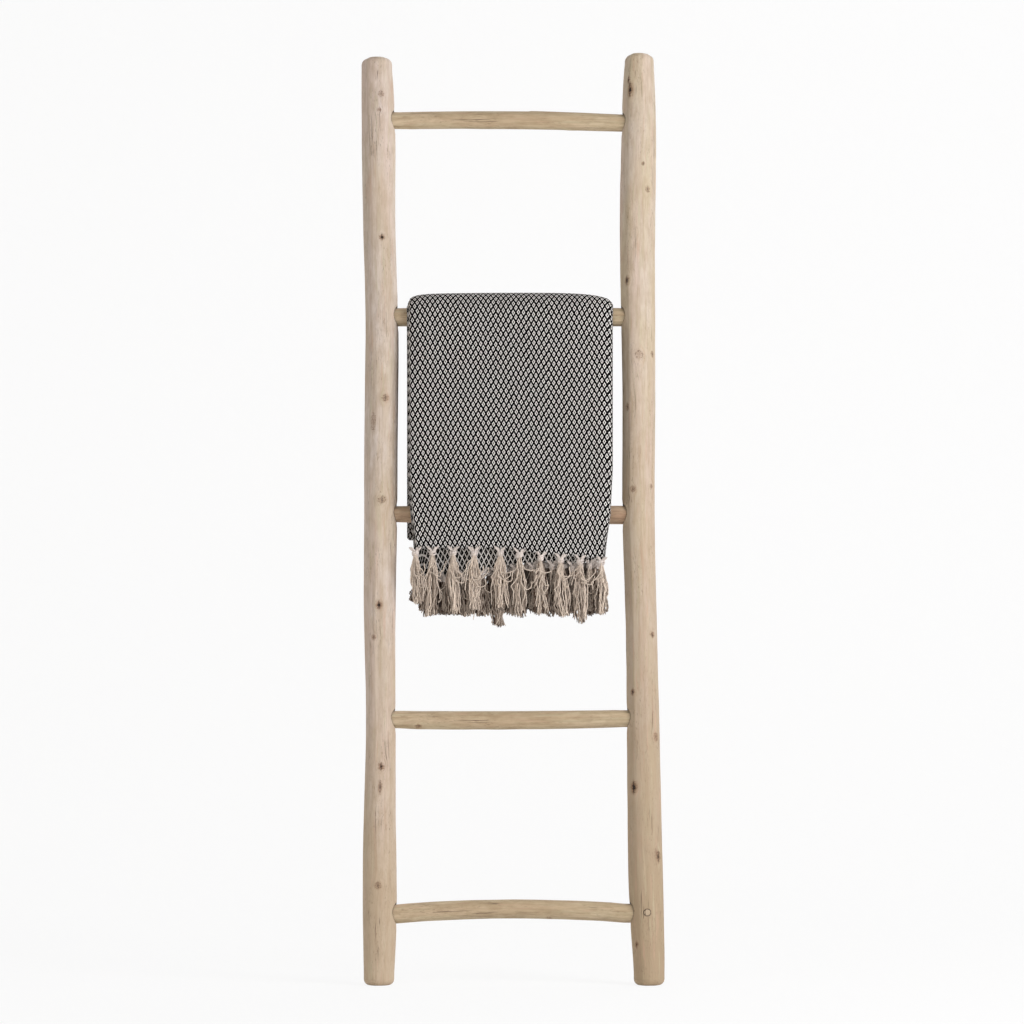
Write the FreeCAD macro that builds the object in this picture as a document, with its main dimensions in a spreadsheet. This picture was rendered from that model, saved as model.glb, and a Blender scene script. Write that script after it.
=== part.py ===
import FreeCAD, Part
import math
import os

import Sketcher
from FreeCAD import Placement, Rotation, Vector

# A leaning blanket ladder: two round rails, five rungs pegged into them, and a folded fringed
# throw over the second rung. Lengths are millimetres, angles degrees. +Z is up, +Y points at the
# wall that the ladder leans on, and the feet stand on Z = 0. Heights run along the rails, from
# the floor. Rung 1 is the top one.

sizes = {
    "lean": 12.0,
    "ladder_setback": 156.0,
    "rail_spacing": 408.0,
    # the lowest rung's height, the bays from rung to rung and each rail's head above rung 1
    "rung_5_height": 112.0,
    "bay_5_4": 306.5,
    "bay_4_3": 326.5,
    "bay_3_2": 319.7,
    "bay_2_1": 320.3,
    "left_head": 104.0,
    "right_head": 110.5,
    "foot_ease": 4.0,
    "top_ease": 3.0,
    # tenons and the pegs that pin them
    "tenon_depth": 38.0,
    "tenon_clearance": 0.2,
    "mortise_end_gap": 0.8,
    "peg_diameter": 10.0,
    "peg_clearance": 0.1,
    "peg_past_tenon": 3.0,
    "peg_proud": 0.3,
    "peg_drop": 2.0,
    "peg_ease": 0.8,
    # the folded throw: its side edges from the middle, its stack of layers, its hems below
    # rung 3's middle and its back drop below rung 2's middle
    "throw_left": 163.5,
    "throw_right": 161.5,
    "throw_layers": 8,
    "layer_pitch": 3.1,
    "rung_2_clearance": 0.4,
    "rung_3_clearance": 0.6,
    "outer_hem_left": 52.0,
    "outer_hem_right": 68.0,
    "inner_hem_left": 99.0,
    "inner_hem_right": 71.0,
    "back_drop_outer": 350.0,
    "back_drop_inner": 358.0,
    "side_round": 10.0,
    # tassels
    "tassel_count": 10,
    "tassel_pitch": 32.0,
    "tassel_margin": 10.0,
    "tassel_stagger": 17.0,
    "tassel_length": 97.0,
    "tassel_gap": 0.3,
    "knot_width": 9.0,
    "knot_height": 10.0,
    "neck_width": 6.0,
    "skirt_width": 18.0,
    "skirt_height": 34.0,
}

# Each rail swells, narrows and bends like the branch it is. One row for each level: the left
# rail's diameter, its axis's shift to the right, then the same for the right rail.
rail_levels = {
    "foot": (43.5, 0.0, 45.5, 10.5),
    "ankle": (48.4, 0.7, 49.7, 9.8),
    "rung_5": (52.0, 1.0, 52.4, 7.8),
    "bay_5_4": (49.8, 0.7, 51.8, 4.9),
    "rung_4": (45.8, 1.0, 49.6, 3.0),
    "bay_4_3": (48.9, -1.1, 47.8, 0.8),
    "rung_3": (51.4, -0.9, 50.4, -2.2),
    "bay_3_2": (52.2, 0.0, 51.1, -1.5),
    "rung_2": (51.4, -0.3, 53.6, -2.0),
    "bay_2_1": (51.2, -4.4, 55.4, -1.8),
    "rung_1": (52.4, -7.2, 53.4, 0.7),
    "neck": (49.8, -9.1, 49.2, 0.9),
    "top": (46.0, -10.4, 42.8, 2.0),
}
for level, (left_width, left_bend, right_width, right_bend) in rail_levels.items():
    sizes["left_diameter_at_" + level] = left_width
    sizes["left_shift_at_" + level] = left_bend
    sizes["right_diameter_at_" + level] = right_width
    sizes["right_shift_at_" + level] = right_bend

# One row for each rung: the diameters of its left end, middle and right end, then how far each
# of the three lies above the rung's own level.
rung_forms = {
    "rung_1": (26.8, 28.6, 26.8, 2.0, 3.0, -1.9),
    "rung_2": (28.9, 28.9, 28.9, 0.0, 0.0, 0.0),
    "rung_3": (24.6, 28.0, 29.0, 0.5, 0.0, -0.5),
    "rung_4": (27.4, 27.9, 26.2, -0.7, -1.7, 0.8),
    "rung_5": (29.5, 29.3, 29.2, -1.0, 6.9, -0.4),
}
rungs = range(1, len(rung_forms) + 1)
rung_places = ("left", "middle", "right")
for rung_name, form in rung_forms.items():
    for place, width, rise in zip(rung_places, form[:3], form[3:]):
        sizes[f"{rung_name}_{place}_diameter"] = width
        sizes[f"{rung_name}_{place}_rise"] = rise

# The rail and rung whose peg is driven from the front; the other pegs are driven from the back.
front_peg = ("right", 5)

# A rail's rings are turned about its axis, so that its surface's seam and quarter lines stay
# clear of the mortises and peg holes, which lie on its four sides.
ring_turn = 45

# How near a point has to be to count as on a plane.
touching = 0.01

doc = FreeCAD.newDocument("BlanketLadder")
sheet = doc.addObject("Spreadsheet::Sheet", "Sizes")
for row, (alias, value) in enumerate(sizes.items(), 1):
    sheet.set(f"A{row}", alias)
    sheet.set(f"B{row}", str(value))
    sheet.setAlias(f"B{row}", alias)
doc.recompute()

# Heights of the levels along a rail, as expressions on the sheet.
heights = {"rung_5": "Sizes.rung_5_height", "ankle": "Sizes.rung_5_height / 2"}
for lower, upper in ((5, 4), (4, 3), (3, 2), (2, 1)):
    bay = f"Sizes.bay_{lower}_{upper}"
    heights[f"rung_{upper}"] = heights[f"rung_{lower}"] + " + " + bay
    heights[f"bay_{lower}_{upper}"] = heights[f"rung_{lower}"] + f" + {bay} / 2"

# Where rung 3 lies from rung 2, forwards and down, and the stack of folded layers.
rung_3_forward = "Sizes.bay_3_2 * sin(Sizes.lean)"
rung_3_down = "Sizes.bay_3_2 * cos(Sizes.lean)"
stack = "Sizes.throw_layers * Sizes.layer_pitch"


def hem_fall(hem):
    """How steeply a hem falls to the right, as an expression."""
    return (f"(Sizes.{hem}_hem_right - Sizes.{hem}_hem_left)"
            " / (Sizes.throw_left + Sizes.throw_right)")


def hem_level(hem, from_left):
    """A hem's height beside rung 2, at a distance from the throw's left edge."""
    return f"-({rung_3_down} + Sizes.{hem}_hem_left + {hem_fall(hem)} * ({from_left}))"


def widest(rung):
    """The largest radius of a rung, as an expression."""
    widths = ", ".join(f"Sizes.rung_{rung}_{place}_diameter" for place in rung_places)
    return f"max({widths}) / 2"


crest_inside = f"{widest(2)} + Sizes.rung_2_clearance"
knee_inside = f"{widest(3)} + Sizes.rung_3_clearance"


def number(expression):
    """The present value of an expression on the sheet."""
    return float(sheet.evalExpression(expression))


def new_body(name):
    body = doc.addObject("PartDesign::Body", name)
    body.Label = name
    return body


def place_on_ladder(body, sideways, height):
    """Set a body's origin on the ladder's slanted plane, with its Z axis up the rails."""
    body.Placement = Placement(Vector(0, 0, 0), Rotation(Vector(-1, 0, 0), sizes["lean"]))
    body.setExpression("Placement.Rotation.Angle", "Sizes.lean")
    body.setExpression("Placement.Base.x", sideways)
    body.setExpression("Placement.Base.y", f"({height}) * sin(Sizes.lean) - Sizes.ladder_setback")
    body.setExpression("Placement.Base.z", f"({height}) * cos(Sizes.lean)")


def place_over_rung_2(body):
    """Set a body's origin in the middle of rung 2, upright."""
    height = heights["rung_2"]
    body.setExpression("Placement.Base.y", f"({height}) * sin(Sizes.lean) - Sizes.ladder_setback")
    body.setExpression("Placement.Base.z", f"({height}) * cos(Sizes.lean)")


def new_sketch(body, name, plane, x="0", y="0", z="0"):
    """A sketch on one of the body's own planes, offset in the sketch's own directions."""
    sketch = body.newObject("Sketcher::SketchObject", name)
    planes = {feature.Role: feature for feature in body.Origin.OriginFeatures}
    sketch.AttachmentSupport = (planes[plane], "")
    sketch.MapMode = "FlatFace"
    sketch.setExpression("AttachmentOffset.Base.x", x)
    sketch.setExpression("AttachmentOffset.Base.y", y)
    sketch.setExpression("AttachmentOffset.Base.z", z)
    return sketch


def constrain(sketch, expression, kind, *places):
    """Add a dimension whose value follows an expression."""
    row = sketch.addConstraint(Sketcher.Constraint(kind, *places, number(expression)))
    sketch.setExpression(f"Constraints[{row}]", expression)


def circle_sketch(body, name, plane, diameter, **offsets):
    """A circle about the sketch's origin."""
    sketch = new_sketch(body, name, plane, **offsets)
    radius = number(diameter) / 2
    circle = sketch.addGeometry(Part.Circle(Vector(0, 0, 0), Vector(0, 0, 1), radius), False)
    sketch.addConstraint(Sketcher.Constraint("Coincident", circle, 3, -1, 1))
    constrain(sketch, diameter, "Diameter", circle)
    return sketch


def polygon_sketch(body, name, plane, corners, **offsets):
    """A closed outline of straight lines. Corners are pairs of expressions."""
    sketch = new_sketch(body, name, plane, **offsets)
    points = [Vector(number(x), number(y), 0) for x, y in corners]
    for start, end in zip(points, points[1:] + points[:1]):
        sketch.addGeometry(Part.LineSegment(start, end), False)
    for line, (x, y) in enumerate(corners):
        before = (line - 1) % len(corners)
        sketch.addConstraint(Sketcher.Constraint("Coincident", before, 2, line, 1))
        constrain(sketch, x, "DistanceX", -1, 1, line, 1)
        constrain(sketch, y, "DistanceY", -1, 1, line, 1)
    return sketch


def pad(body, name, profile, length, reverse=False):
    feature = body.newObject("PartDesign::Pad", name)
    feature.Profile = profile
    feature.setExpression("Length", length)
    feature.Reversed = reverse
    return feature


def pocket(body, name, profile, reverse=False, both_ways=False):
    """Cut from the profile's plane right through: against its normal, or along it."""
    feature = body.newObject("PartDesign::Pocket", name)
    feature.Profile = profile
    feature.Type = "ThroughAll"
    feature.Reversed = reverse
    if both_ways:
        feature.SideType = "Symmetric"
    return feature


def loft(body, name, sections):
    feature = body.newObject("PartDesign::AdditiveLoft", name)
    feature.Profile = sections[0]
    feature.Sections = sections[1:]
    return feature


def edges_where(feature, test):
    """The names of the feature's edges whose every sampled point passes a test."""
    names = []
    for row, edge in enumerate(feature.Shape.Edges, 1):
        if all(test(point) for point in edge.discretize(9)):
            names.append(f"Edge{row}")
    return names


def ease(body, kind, name, base, edges, property_name, amount):
    """Round or bevel some of a feature's edges."""
    feature = body.newObject("PartDesign::" + kind, name)
    feature.Base = (base, edges)
    feature.setExpression(property_name, amount)
    return feature


def rail_axis(side, level):
    """The sideways place of a rail's axis at a level."""
    sign = "-" if side == "left" else ""
    return f"{sign}Sizes.rail_spacing / 2 + Sizes.{side}_shift_at_{level}"


def peg_height(side, rung):
    return f"{heights[f'rung_{rung}']} + Sizes.rung_{rung}_{side}_rise - Sizes.peg_drop"


def peg_reach(side, rung):
    """How far a peg runs past the rail's axis."""
    return f"Sizes.rung_{rung}_{side}_diameter / 2 + Sizes.peg_past_tenon"


def make_rail(side):
    """One rail: a pole lofted through its levels, sawn at the floor, with five mortises."""
    rail = new_body(side + "_rail")
    sign = "-" if side == "left" else ""
    place_on_ladder(rail, f"{sign}Sizes.rail_spacing / 2", "0")
    head = f"{heights['rung_1']} + Sizes.{side}_head"
    levels = dict(heights)
    levels["foot"] = f"-Sizes.{side}_diameter_at_foot * tan(Sizes.lean)"
    levels["neck"] = head + " * 3 / 5"
    levels["top"] = head
    rings = []
    for level in rail_levels:
        width = f"Sizes.{side}_diameter_at_{level}"
        shift = f"Sizes.{side}_shift_at_{level}"
        name = f"{side}_ring_{level}"
        ring = circle_sketch(rail, name, "XY_Plane", width, x=shift, z=levels[level])
        ring.AttachmentOffset = Placement(Vector(0, 0, 0), Rotation(Vector(0, 0, 1), ring_turn))
        rings.append(ring)
    pole = loft(rail, side + "_pole", rings)

    # The pole is sawn off level with the floor, which its own frame sees tilted by the lean.
    reach = f"Sizes.{side}_diameter_at_foot * 2"
    corners = (("-" + reach, "0"), (reach, "0"), (reach, "-" + reach), ("-" + reach, "-" + reach))
    below_floor = polygon_sketch(rail, side + "_below_floor", "YZ_Plane", corners)
    below_floor.AttachmentOffset = Placement(Vector(0, 0, 0), Rotation(Vector(0, 0, 1), 1))
    below_floor.setExpression("AttachmentOffset.Rotation.Angle", "Sizes.lean")
    sawn = pocket(rail, side + "_sawn_foot", below_floor, both_ways=True)
    doc.recompute()

    slope = math.tan(math.radians(sizes["lean"]))
    foot_edges = edges_where(sawn,
                             lambda point: abs(point.z - slope * point.y) < touching)
    eased_foot = ease(rail, "Fillet", side + "_eased_foot", sawn, foot_edges, "Radius",
                      "Sizes.foot_ease")
    doc.recompute()
    top_height = number(levels["top"])
    top_edges = edges_where(eased_foot, lambda point: abs(point.z - top_height) < touching)
    ease(rail, "Fillet", side + "_eased_top", eased_foot, top_edges, "Radius", "Sizes.top_ease")

    # Mortises open at the rail's inner side, and peg holes at its back or front.
    inwards = 1 if side == "left" else -1
    for rung in rungs:
        level = f"rung_{rung}"
        tenon_height = f"{heights[level]} + Sizes.{level}_{side}_rise"
        bottom = (f"Sizes.{side}_shift_at_{level} + {inwards} * (Sizes.{side}_diameter_at_{level}"
                  " / 2 - Sizes.tenon_depth - Sizes.mortise_end_gap)")
        bore = f"Sizes.{level}_{side}_diameter + 2 * Sizes.tenon_clearance"
        mouth = circle_sketch(rail, f"{side}_mortise_ring_{rung}", "YZ_Plane", bore,
                              y=tenon_height, z=bottom)
        pocket(rail, f"{side}_mortise_{rung}", mouth, reverse=inwards > 0)

        in_front = (side, rung) == front_peg
        hole_end = f"{peg_reach(side, rung)} + Sizes.mortise_end_gap"
        hole = circle_sketch(rail, f"{side}_peg_ring_{rung}", "XZ_Plane",
                             "Sizes.peg_diameter + 2 * Sizes.peg_clearance",
                             x=f"Sizes.{side}_shift_at_{level}", y=peg_height(side, rung),
                             z=("-1" if in_front else "1") + f" * ({hole_end})")
        pocket(rail, f"{side}_peg_hole_{rung}", hole, reverse=in_front)
    return rail


def make_rung(rung):
    """One rung: a branch lofted through three rings, whose ends run on as the tenons."""
    name = f"rung_{rung}"
    body = new_body(name)
    place_on_ladder(body, "0", heights[name])
    face = {}
    for side, sign in (("left", "+"), ("right", "-")):
        face[side] = f"{rail_axis(side, name)} {sign} Sizes.{side}_diameter_at_{name} / 2"
    face["middle"] = f"({face['left']} + {face['right']}) / 2"
    rings = []
    for place in rung_places:
        width = f"Sizes.{name}_{place}_diameter"
        rise = f"Sizes.{name}_{place}_rise"
        ring = circle_sketch(body, f"{name}_ring_{place}", "YZ_Plane", width,
                             y=rise, z=face[place])
        rings.append(ring)
    loft(body, name + "_branch", rings)
    for side in ("left", "right"):
        end = circle_sketch(body, f"{name}_end_{side}", "YZ_Plane",
                            f"Sizes.{name}_{side}_diameter",
                            y=f"Sizes.{name}_{side}_rise", z=face[side])
        pad(body, f"{name}_tenon_{side}", end, "Sizes.tenon_depth", reverse=side == "left")
        hole = circle_sketch(body, f"{name}_peg_ring_{side}", "XZ_Plane",
                             "Sizes.peg_diameter + 2 * Sizes.peg_clearance",
                             x=rail_axis(side, name),
                             y=f"Sizes.{name}_{side}_rise - Sizes.peg_drop")
        pocket(body, f"{name}_peg_hole_{side}", hole, both_ways=True)
    return body


def make_peg(side, rung):
    """One peg, from just proud of the rail's surface to past the tenon."""
    name = f"peg_{side}_{rung}"
    level = f"rung_{rung}"
    peg = new_body(name)
    place_on_ladder(peg, rail_axis(side, level), peg_height(side, rung))
    in_front = (side, rung) == front_peg
    start = peg_reach(side, rung)
    length = f"{start} + Sizes.{side}_diameter_at_{level} / 2 + Sizes.peg_proud"
    ring = circle_sketch(peg, name + "_ring", "XZ_Plane", "Sizes.peg_diameter",
                         z=("-1" if in_front else "1") + f" * ({start})")
    rod = pad(peg, name + "_rod", ring, length, reverse=not in_front)
    doc.recompute()
    ends = [f"Edge{row}" for row, edge in enumerate(rod.Shape.Edges, 1)
            if isinstance(edge.Curve, Part.Circle)]
    ease(peg, "Chamfer", name + "_ease", rod, ends, "Size", "Sizes.peg_ease")
    return peg


def throw_profile(body):
    """The folded throw seen from the side: over rung 2, down over rung 3's front, and down
    behind rung 2."""
    sketch = new_sketch(body, "throw_profile", "YZ_Plane", z="-Sizes.throw_left")
    crest_outside = f"{crest_inside} + {stack}"
    knee_outside = f"{knee_inside} + {stack}"
    front_end = f"{rung_3_down} + Sizes.inner_hem_left + Sizes.inner_hem_right"
    lean = math.radians(sizes["lean"])
    front = math.pi - lean
    knee = Vector(-number(rung_3_forward), -number(rung_3_down), 0)
    origin = Vector(0, 0, 0)

    def on_circle(centre, radius, angle):
        return centre + Vector(math.cos(angle), math.sin(angle), 0) * radius

    def arc(centre, radius, start, end):
        circle = Part.Circle(centre, Vector(0, 0, 1), radius)
        return sketch.addGeometry(Part.ArcOfCircle(circle, start, end), False)

    def line(start, end):
        return sketch.addGeometry(Part.LineSegment(start, end), False)

    radii = [number(size) for size in (crest_outside, knee_outside, crest_inside, knee_inside)]
    crest_out, knee_out, crest_in, knee_in = radii
    low_front = -number(front_end)
    low_outer = -sizes["back_drop_outer"]
    low_inner = -sizes["back_drop_inner"]
    outer_crest = arc(origin, crest_out, 0, front)
    outer_slope = line(on_circle(origin, crest_out, front), on_circle(knee, knee_out, front))
    outer_knee = arc(knee, knee_out, front, math.pi)
    outer_drop = line(knee - Vector(knee_out, 0, 0), Vector(knee.x - knee_out, low_front, 0))
    hem = line(Vector(knee.x - knee_out, low_front, 0), Vector(knee.x - knee_in, low_front, 0))
    inner_drop = line(Vector(knee.x - knee_in, low_front, 0), knee - Vector(knee_in, 0, 0))
    inner_knee = arc(knee, knee_in, front, math.pi)
    inner_slope = line(on_circle(knee, knee_in, front), on_circle(origin, crest_in, front))
    inner_crest = arc(origin, crest_in, 0, front)
    inner_back = line(Vector(crest_in, 0, 0), Vector(crest_in, low_inner, 0))
    bottom = line(Vector(crest_in, low_inner, 0), Vector(crest_out, low_outer, 0))
    outer_back = line(Vector(crest_out, low_outer, 0), Vector(crest_out, 0, 0))

    for one, one_end, other, other_end in (
        (outer_crest, 2, outer_slope, 1),
        (outer_slope, 2, outer_knee, 1),
        (outer_knee, 2, outer_drop, 1),
        (inner_drop, 2, inner_knee, 2),
        (inner_knee, 1, inner_slope, 1),
        (inner_slope, 2, inner_crest, 2),
        (inner_crest, 1, inner_back, 1),
        (outer_back, 2, outer_crest, 1),
    ):
        sketch.addConstraint(Sketcher.Constraint("Tangent", one, one_end, other, other_end))
    for one, other in ((outer_drop, hem), (hem, inner_drop), (inner_back, bottom),
                       (bottom, outer_back)):
        sketch.addConstraint(Sketcher.Constraint("Coincident", one, 2, other, 1))
    for upright in (outer_drop, inner_drop, inner_back, outer_back):
        sketch.addConstraint(Sketcher.Constraint("Vertical", upright))
    sketch.addConstraint(Sketcher.Constraint("Horizontal", hem))
    sketch.addConstraint(Sketcher.Constraint("Coincident", outer_crest, 3, -1, 1))
    sketch.addConstraint(Sketcher.Constraint("Coincident", inner_crest, 3, -1, 1))
    sketch.addConstraint(Sketcher.Constraint("Coincident", inner_knee, 3, outer_knee, 3))
    constrain(sketch, rung_3_forward, "DistanceX", outer_knee, 3, -1, 1)
    constrain(sketch, rung_3_down, "DistanceY", outer_knee, 3, -1, 1)
    constrain(sketch, crest_outside, "Radius", outer_crest)
    constrain(sketch, crest_inside, "Radius", inner_crest)
    constrain(sketch, knee_outside, "Radius", outer_knee)
    constrain(sketch, knee_inside, "Radius", inner_knee)
    constrain(sketch, front_end, "DistanceY", hem, 1, -1, 1)
    constrain(sketch, "Sizes.back_drop_inner", "DistanceY", bottom, 1, -1, 1)
    constrain(sketch, "Sizes.back_drop_outer", "DistanceY", bottom, 2, -1, 1)
    return sketch


def cut_hem(throw, hem, depth):
    """Cut the front drop off along a hem line, from a depth measured forwards of rung 2."""
    beyond = "Sizes.throw_right + Sizes.side_round"
    below = f"-({rung_3_down} + 2 * (Sizes.inner_hem_left + Sizes.inner_hem_right))"
    corners = (
        ("-Sizes.throw_left - Sizes.side_round", hem_level(hem, "-Sizes.side_round")),
        (beyond, hem_level(hem, f"Sizes.throw_left + {beyond}")),
        (beyond, below),
        ("-Sizes.throw_left - Sizes.side_round", below),
    )
    outline = polygon_sketch(throw, hem + "_hem_line", "XZ_Plane", corners, z=depth)
    return pocket(throw, hem + "_hem", outline, reverse=True)


def make_throw():
    """The throw's stack of layers, rounded at its side folds. Its front hems are stepped: the
    outermost layer's hangs higher than the rest."""
    throw = new_body("throw")
    place_over_rung_2(throw)
    width = "Sizes.throw_left + Sizes.throw_right"
    draped = pad(throw, "throw_stack", throw_profile(throw), width)
    doc.recompute()
    sides = (-sizes["throw_left"], sizes["throw_right"])
    thickness = number(stack)

    def crosses_stack(edge):
        """Whether an edge is one of the profile's two cut ends."""
        start, end = edge.Vertexes[0].Point, edge.Vertexes[-1].Point
        across = abs(abs(start.y - end.y) - thickness) < touching
        return across and end.z < 0 and start.z < 0

    side_edges = []
    for row, edge in enumerate(draped.Shape.Edges, 1):
        points = edge.discretize(3)
        at_side = any(all(abs(point.x - side) < touching for point in points) for side in sides)
        if at_side and not crosses_stack(edge):
            side_edges.append(f"Edge{row}")
    ease(throw, "Fillet", "throw_side_folds", draped, side_edges, "Radius",
         f"min(Sizes.side_round, {stack} * 0.4)")
    cut_hem(throw, "inner", f"{rung_3_forward} / 2")
    cut_hem(throw, "outer", f"{rung_3_forward} + {knee_inside} + {stack} - Sizes.layer_pitch")
    return throw


def make_fringe(layer):
    """One layer's row of tassels, hanging from its hem. Layer 0 is the outermost."""
    name = f"fringe_{layer + 1}"
    fringe = new_body(name)
    fringe.AllowCompound = True
    place_over_rung_2(fringe)
    hem = "outer" if layer == 0 else "inner"
    fall = hem_fall(hem)
    layers = int(sizes["throw_layers"])
    inset = f"Sizes.tassel_margin + Sizes.tassel_stagger * {layer * 3 % layers} / {layers}"
    front = (f"{rung_3_forward} + {knee_inside} + {stack} - {layer} * Sizes.layer_pitch"
             " - Sizes.tassel_gap / 2")
    half_knot = "Sizes.knot_width / 2"
    half_neck = "Sizes.neck_width / 2"
    half_skirt = "Sizes.skirt_width / 2"
    right_side = (
        (half_neck, "0"),
        (half_knot, "-Sizes.knot_height / 2"),
        (half_neck, "-Sizes.knot_height"),
        (half_skirt, "-Sizes.tassel_length + Sizes.skirt_height"),
        (half_skirt + " * 4 / 5", "-Sizes.tassel_length"),
    )
    left_side = [("-" + x, y) for x, y in reversed(right_side)]
    outline = polygon_sketch(
        fringe, name + "_tassel", "XZ_Plane", list(right_side) + left_side,
        x=f"-Sizes.throw_left + {inset}", y=f"{hem_level(hem, inset)} - Sizes.tassel_gap",
        z=front)
    span = "Sizes.tassel_pitch * (Sizes.tassel_count - 1)"
    along = outline.addGeometry(
        Part.LineSegment(Vector(0, 0, 0), Vector(number(span), -number(fall) * number(span), 0)),
        True)
    outline.addConstraint(Sketcher.Constraint("Coincident", along, 1, -1, 1))
    constrain(outline, span, "DistanceX", -1, 1, along, 2)
    constrain(outline, f"-({fall}) * {span}", "DistanceY", -1, 1, along, 2)
    tassel = pad(fringe, name + "_first", outline, "Sizes.layer_pitch - Sizes.tassel_gap",
                 reverse=True)
    doc.recompute()
    row = fringe.newObject("PartDesign::LinearPattern", name + "_row")
    row.Originals = [tassel]
    row.Direction = (outline, ["Axis0"])
    row.setExpression("Length", f"{span} * sqrt(1 + ({fall}) ^ 2)")
    row.setExpression("Occurrences", "Sizes.tassel_count")
    fringe.Tip = row
    return fringe


nodes = [make_rail(side) for side in ("left", "right")]
nodes += [make_rung(rung) for rung in rungs]
nodes += [make_peg(side, rung) for side in ("left", "right") for rung in rungs]
nodes.append(make_throw())
nodes += [make_fringe(layer) for layer in range(int(sizes["throw_layers"]))]
doc.recompute()

for thing in doc.Objects:
    if {"Invalid", "Error"} & set(thing.State):
        raise RuntimeError(f"{thing.Label} did not build: {thing.State}")
for node in nodes:
    if node.Shape.isNull() or not node.Shape.isValid():
        raise RuntimeError(f"{node.Label} has no sound shape")

os.makedirs("parts", exist_ok=True)
for node in nodes:
    node.Shape.exportStep(f"parts/{node.Label}.step")
    box = node.Shape.optimalBoundingBox(True, False)
    print(f"{node.Label}: {len(node.Shape.Solids)} solid(s), {node.Shape.Volume / 1000:.1f} cm3,"
          f" x {box.XMin:.1f}..{box.XMax:.1f} y {box.YMin:.1f}..{box.YMax:.1f}"
          f" z {box.ZMin:.1f}..{box.ZMax:.1f}")
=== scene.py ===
import math
import bpy
import numpy as np
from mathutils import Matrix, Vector
from mathutils.bvhtree import BVHTree


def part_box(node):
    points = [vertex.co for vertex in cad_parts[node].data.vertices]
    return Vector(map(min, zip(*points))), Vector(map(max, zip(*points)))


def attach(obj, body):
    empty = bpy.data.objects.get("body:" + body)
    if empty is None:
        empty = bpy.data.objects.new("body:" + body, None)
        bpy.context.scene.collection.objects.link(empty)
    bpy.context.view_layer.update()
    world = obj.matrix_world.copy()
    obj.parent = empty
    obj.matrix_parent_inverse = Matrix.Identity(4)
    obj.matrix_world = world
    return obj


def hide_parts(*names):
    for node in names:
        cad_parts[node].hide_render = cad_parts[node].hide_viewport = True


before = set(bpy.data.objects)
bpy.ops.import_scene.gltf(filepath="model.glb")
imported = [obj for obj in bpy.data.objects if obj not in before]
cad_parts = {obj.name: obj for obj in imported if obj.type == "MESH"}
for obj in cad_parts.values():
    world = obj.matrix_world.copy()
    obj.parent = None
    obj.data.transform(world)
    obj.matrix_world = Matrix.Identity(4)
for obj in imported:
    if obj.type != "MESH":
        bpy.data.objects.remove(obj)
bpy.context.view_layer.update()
print("frame loaded")

mm = 0.001
turn = 2 * math.pi

# the ladder's own directions: across it, out of its back, and up its rails
ladder = {"lean": math.radians(12), "setback": 156 * mm, "railPlace": 204 * mm}
across = np.array((1.0, 0.0, 0.0))
backward = np.array((0.0, math.cos(ladder["lean"]), -math.sin(ladder["lean"])))
upward = np.array((0.0, math.sin(ladder["lean"]), math.cos(ladder["lean"])))
foot = np.array((0.0, -ladder["setback"], 0.0))


def smoothStep(value, low, high):
    share = np.clip((value - low) / (high - low), 0, 1)
    return share * share * (3 - 2 * share)


def ripple(points, seed, length, count=10):
    # a smooth random swell over space, about -1 to 1
    draw = np.random.default_rng(seed)
    total = 0
    for _ in range(count):
        way = draw.normal(size=3)
        way *= turn / (length * draw.uniform(0.7, 1.7) * np.linalg.norm(way))
        total = total + np.sin(points @ way + draw.uniform(0, turn))
    return total / math.sqrt(count)


def gridFaces(rows, columns, closed):
    row = np.arange(rows - 1)[:, None]
    column = np.arange(columns if closed else columns - 1)[None, :]
    beside = (column + 1) % columns
    corners = (row * columns + column, row * columns + beside,
               (row + 1) * columns + beside, (row + 1) * columns + column)
    return np.stack(corners, -1).reshape(-1, 4)


def newPiece(name, points, faces, material, body, values):
    mesh = bpy.data.meshes.new(name)
    mesh.from_pydata(points.reshape(-1, 3).tolist(), [], faces)
    mesh.update()
    for attribute, value in values.items():  # one number at each point, or three
        single = value.size == len(mesh.vertices)
        made = mesh.attributes.new(attribute, "FLOAT" if single else "FLOAT_VECTOR", "POINT")
        made.data.foreach_set("value" if single else "vector",
                              value.astype(np.float32).ravel())
    mesh.polygons.foreach_set("use_smooth", np.ones(len(mesh.polygons), bool))
    mesh.materials.append(material)
    piece = bpy.data.objects.new(name, mesh)
    bpy.context.scene.collection.objects.link(piece)
    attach(piece, body)
    return piece


def middleOf(node):
    # the middle of a solid's box, from the ladder's foot
    low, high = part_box(node)
    return (np.array(low) + np.array(high)) / 2 - foot


def paint(red, green, blue):
    # a colour as it shows on a screen, turned into the linear one a shader wants
    return tuple((c / 255 / 12.92 if c < 10.3 else ((c / 255 + 0.055) / 1.055) ** 2.4)
                 for c in (red, green, blue)) + (1.0,)


def feed(tree, socket, value):
    if isinstance(value, bpy.types.NodeSocket):
        tree.links.new(value, socket)
    else:
        socket.default_value = value


def addNode(tree, kind, sockets=None, **settings):
    node = tree.nodes.new("ShaderNode" + kind)
    node.location = (180 * (len(tree.nodes) % 9), -220 * (len(tree.nodes) // 9))
    for name, value in settings.items():
        setattr(node, name, value)
    for name, value in (sockets or {}).items():
        feed(tree, node.inputs[name], value)
    return node


def calculate(tree, operation, *values):
    return addNode(tree, "Math", dict(enumerate(values)), operation=operation).outputs[0]


def plus(tree, first, second):
    return calculate(tree, "ADD", first, second)


def minus(tree, first, second):
    return calculate(tree, "SUBTRACT", first, second)


def times(tree, first, second):
    return calculate(tree, "MULTIPLY", first, second)


def timesPlus(tree, first, factor, added):
    return calculate(tree, "MULTIPLY_ADD", first, factor, added)


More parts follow.
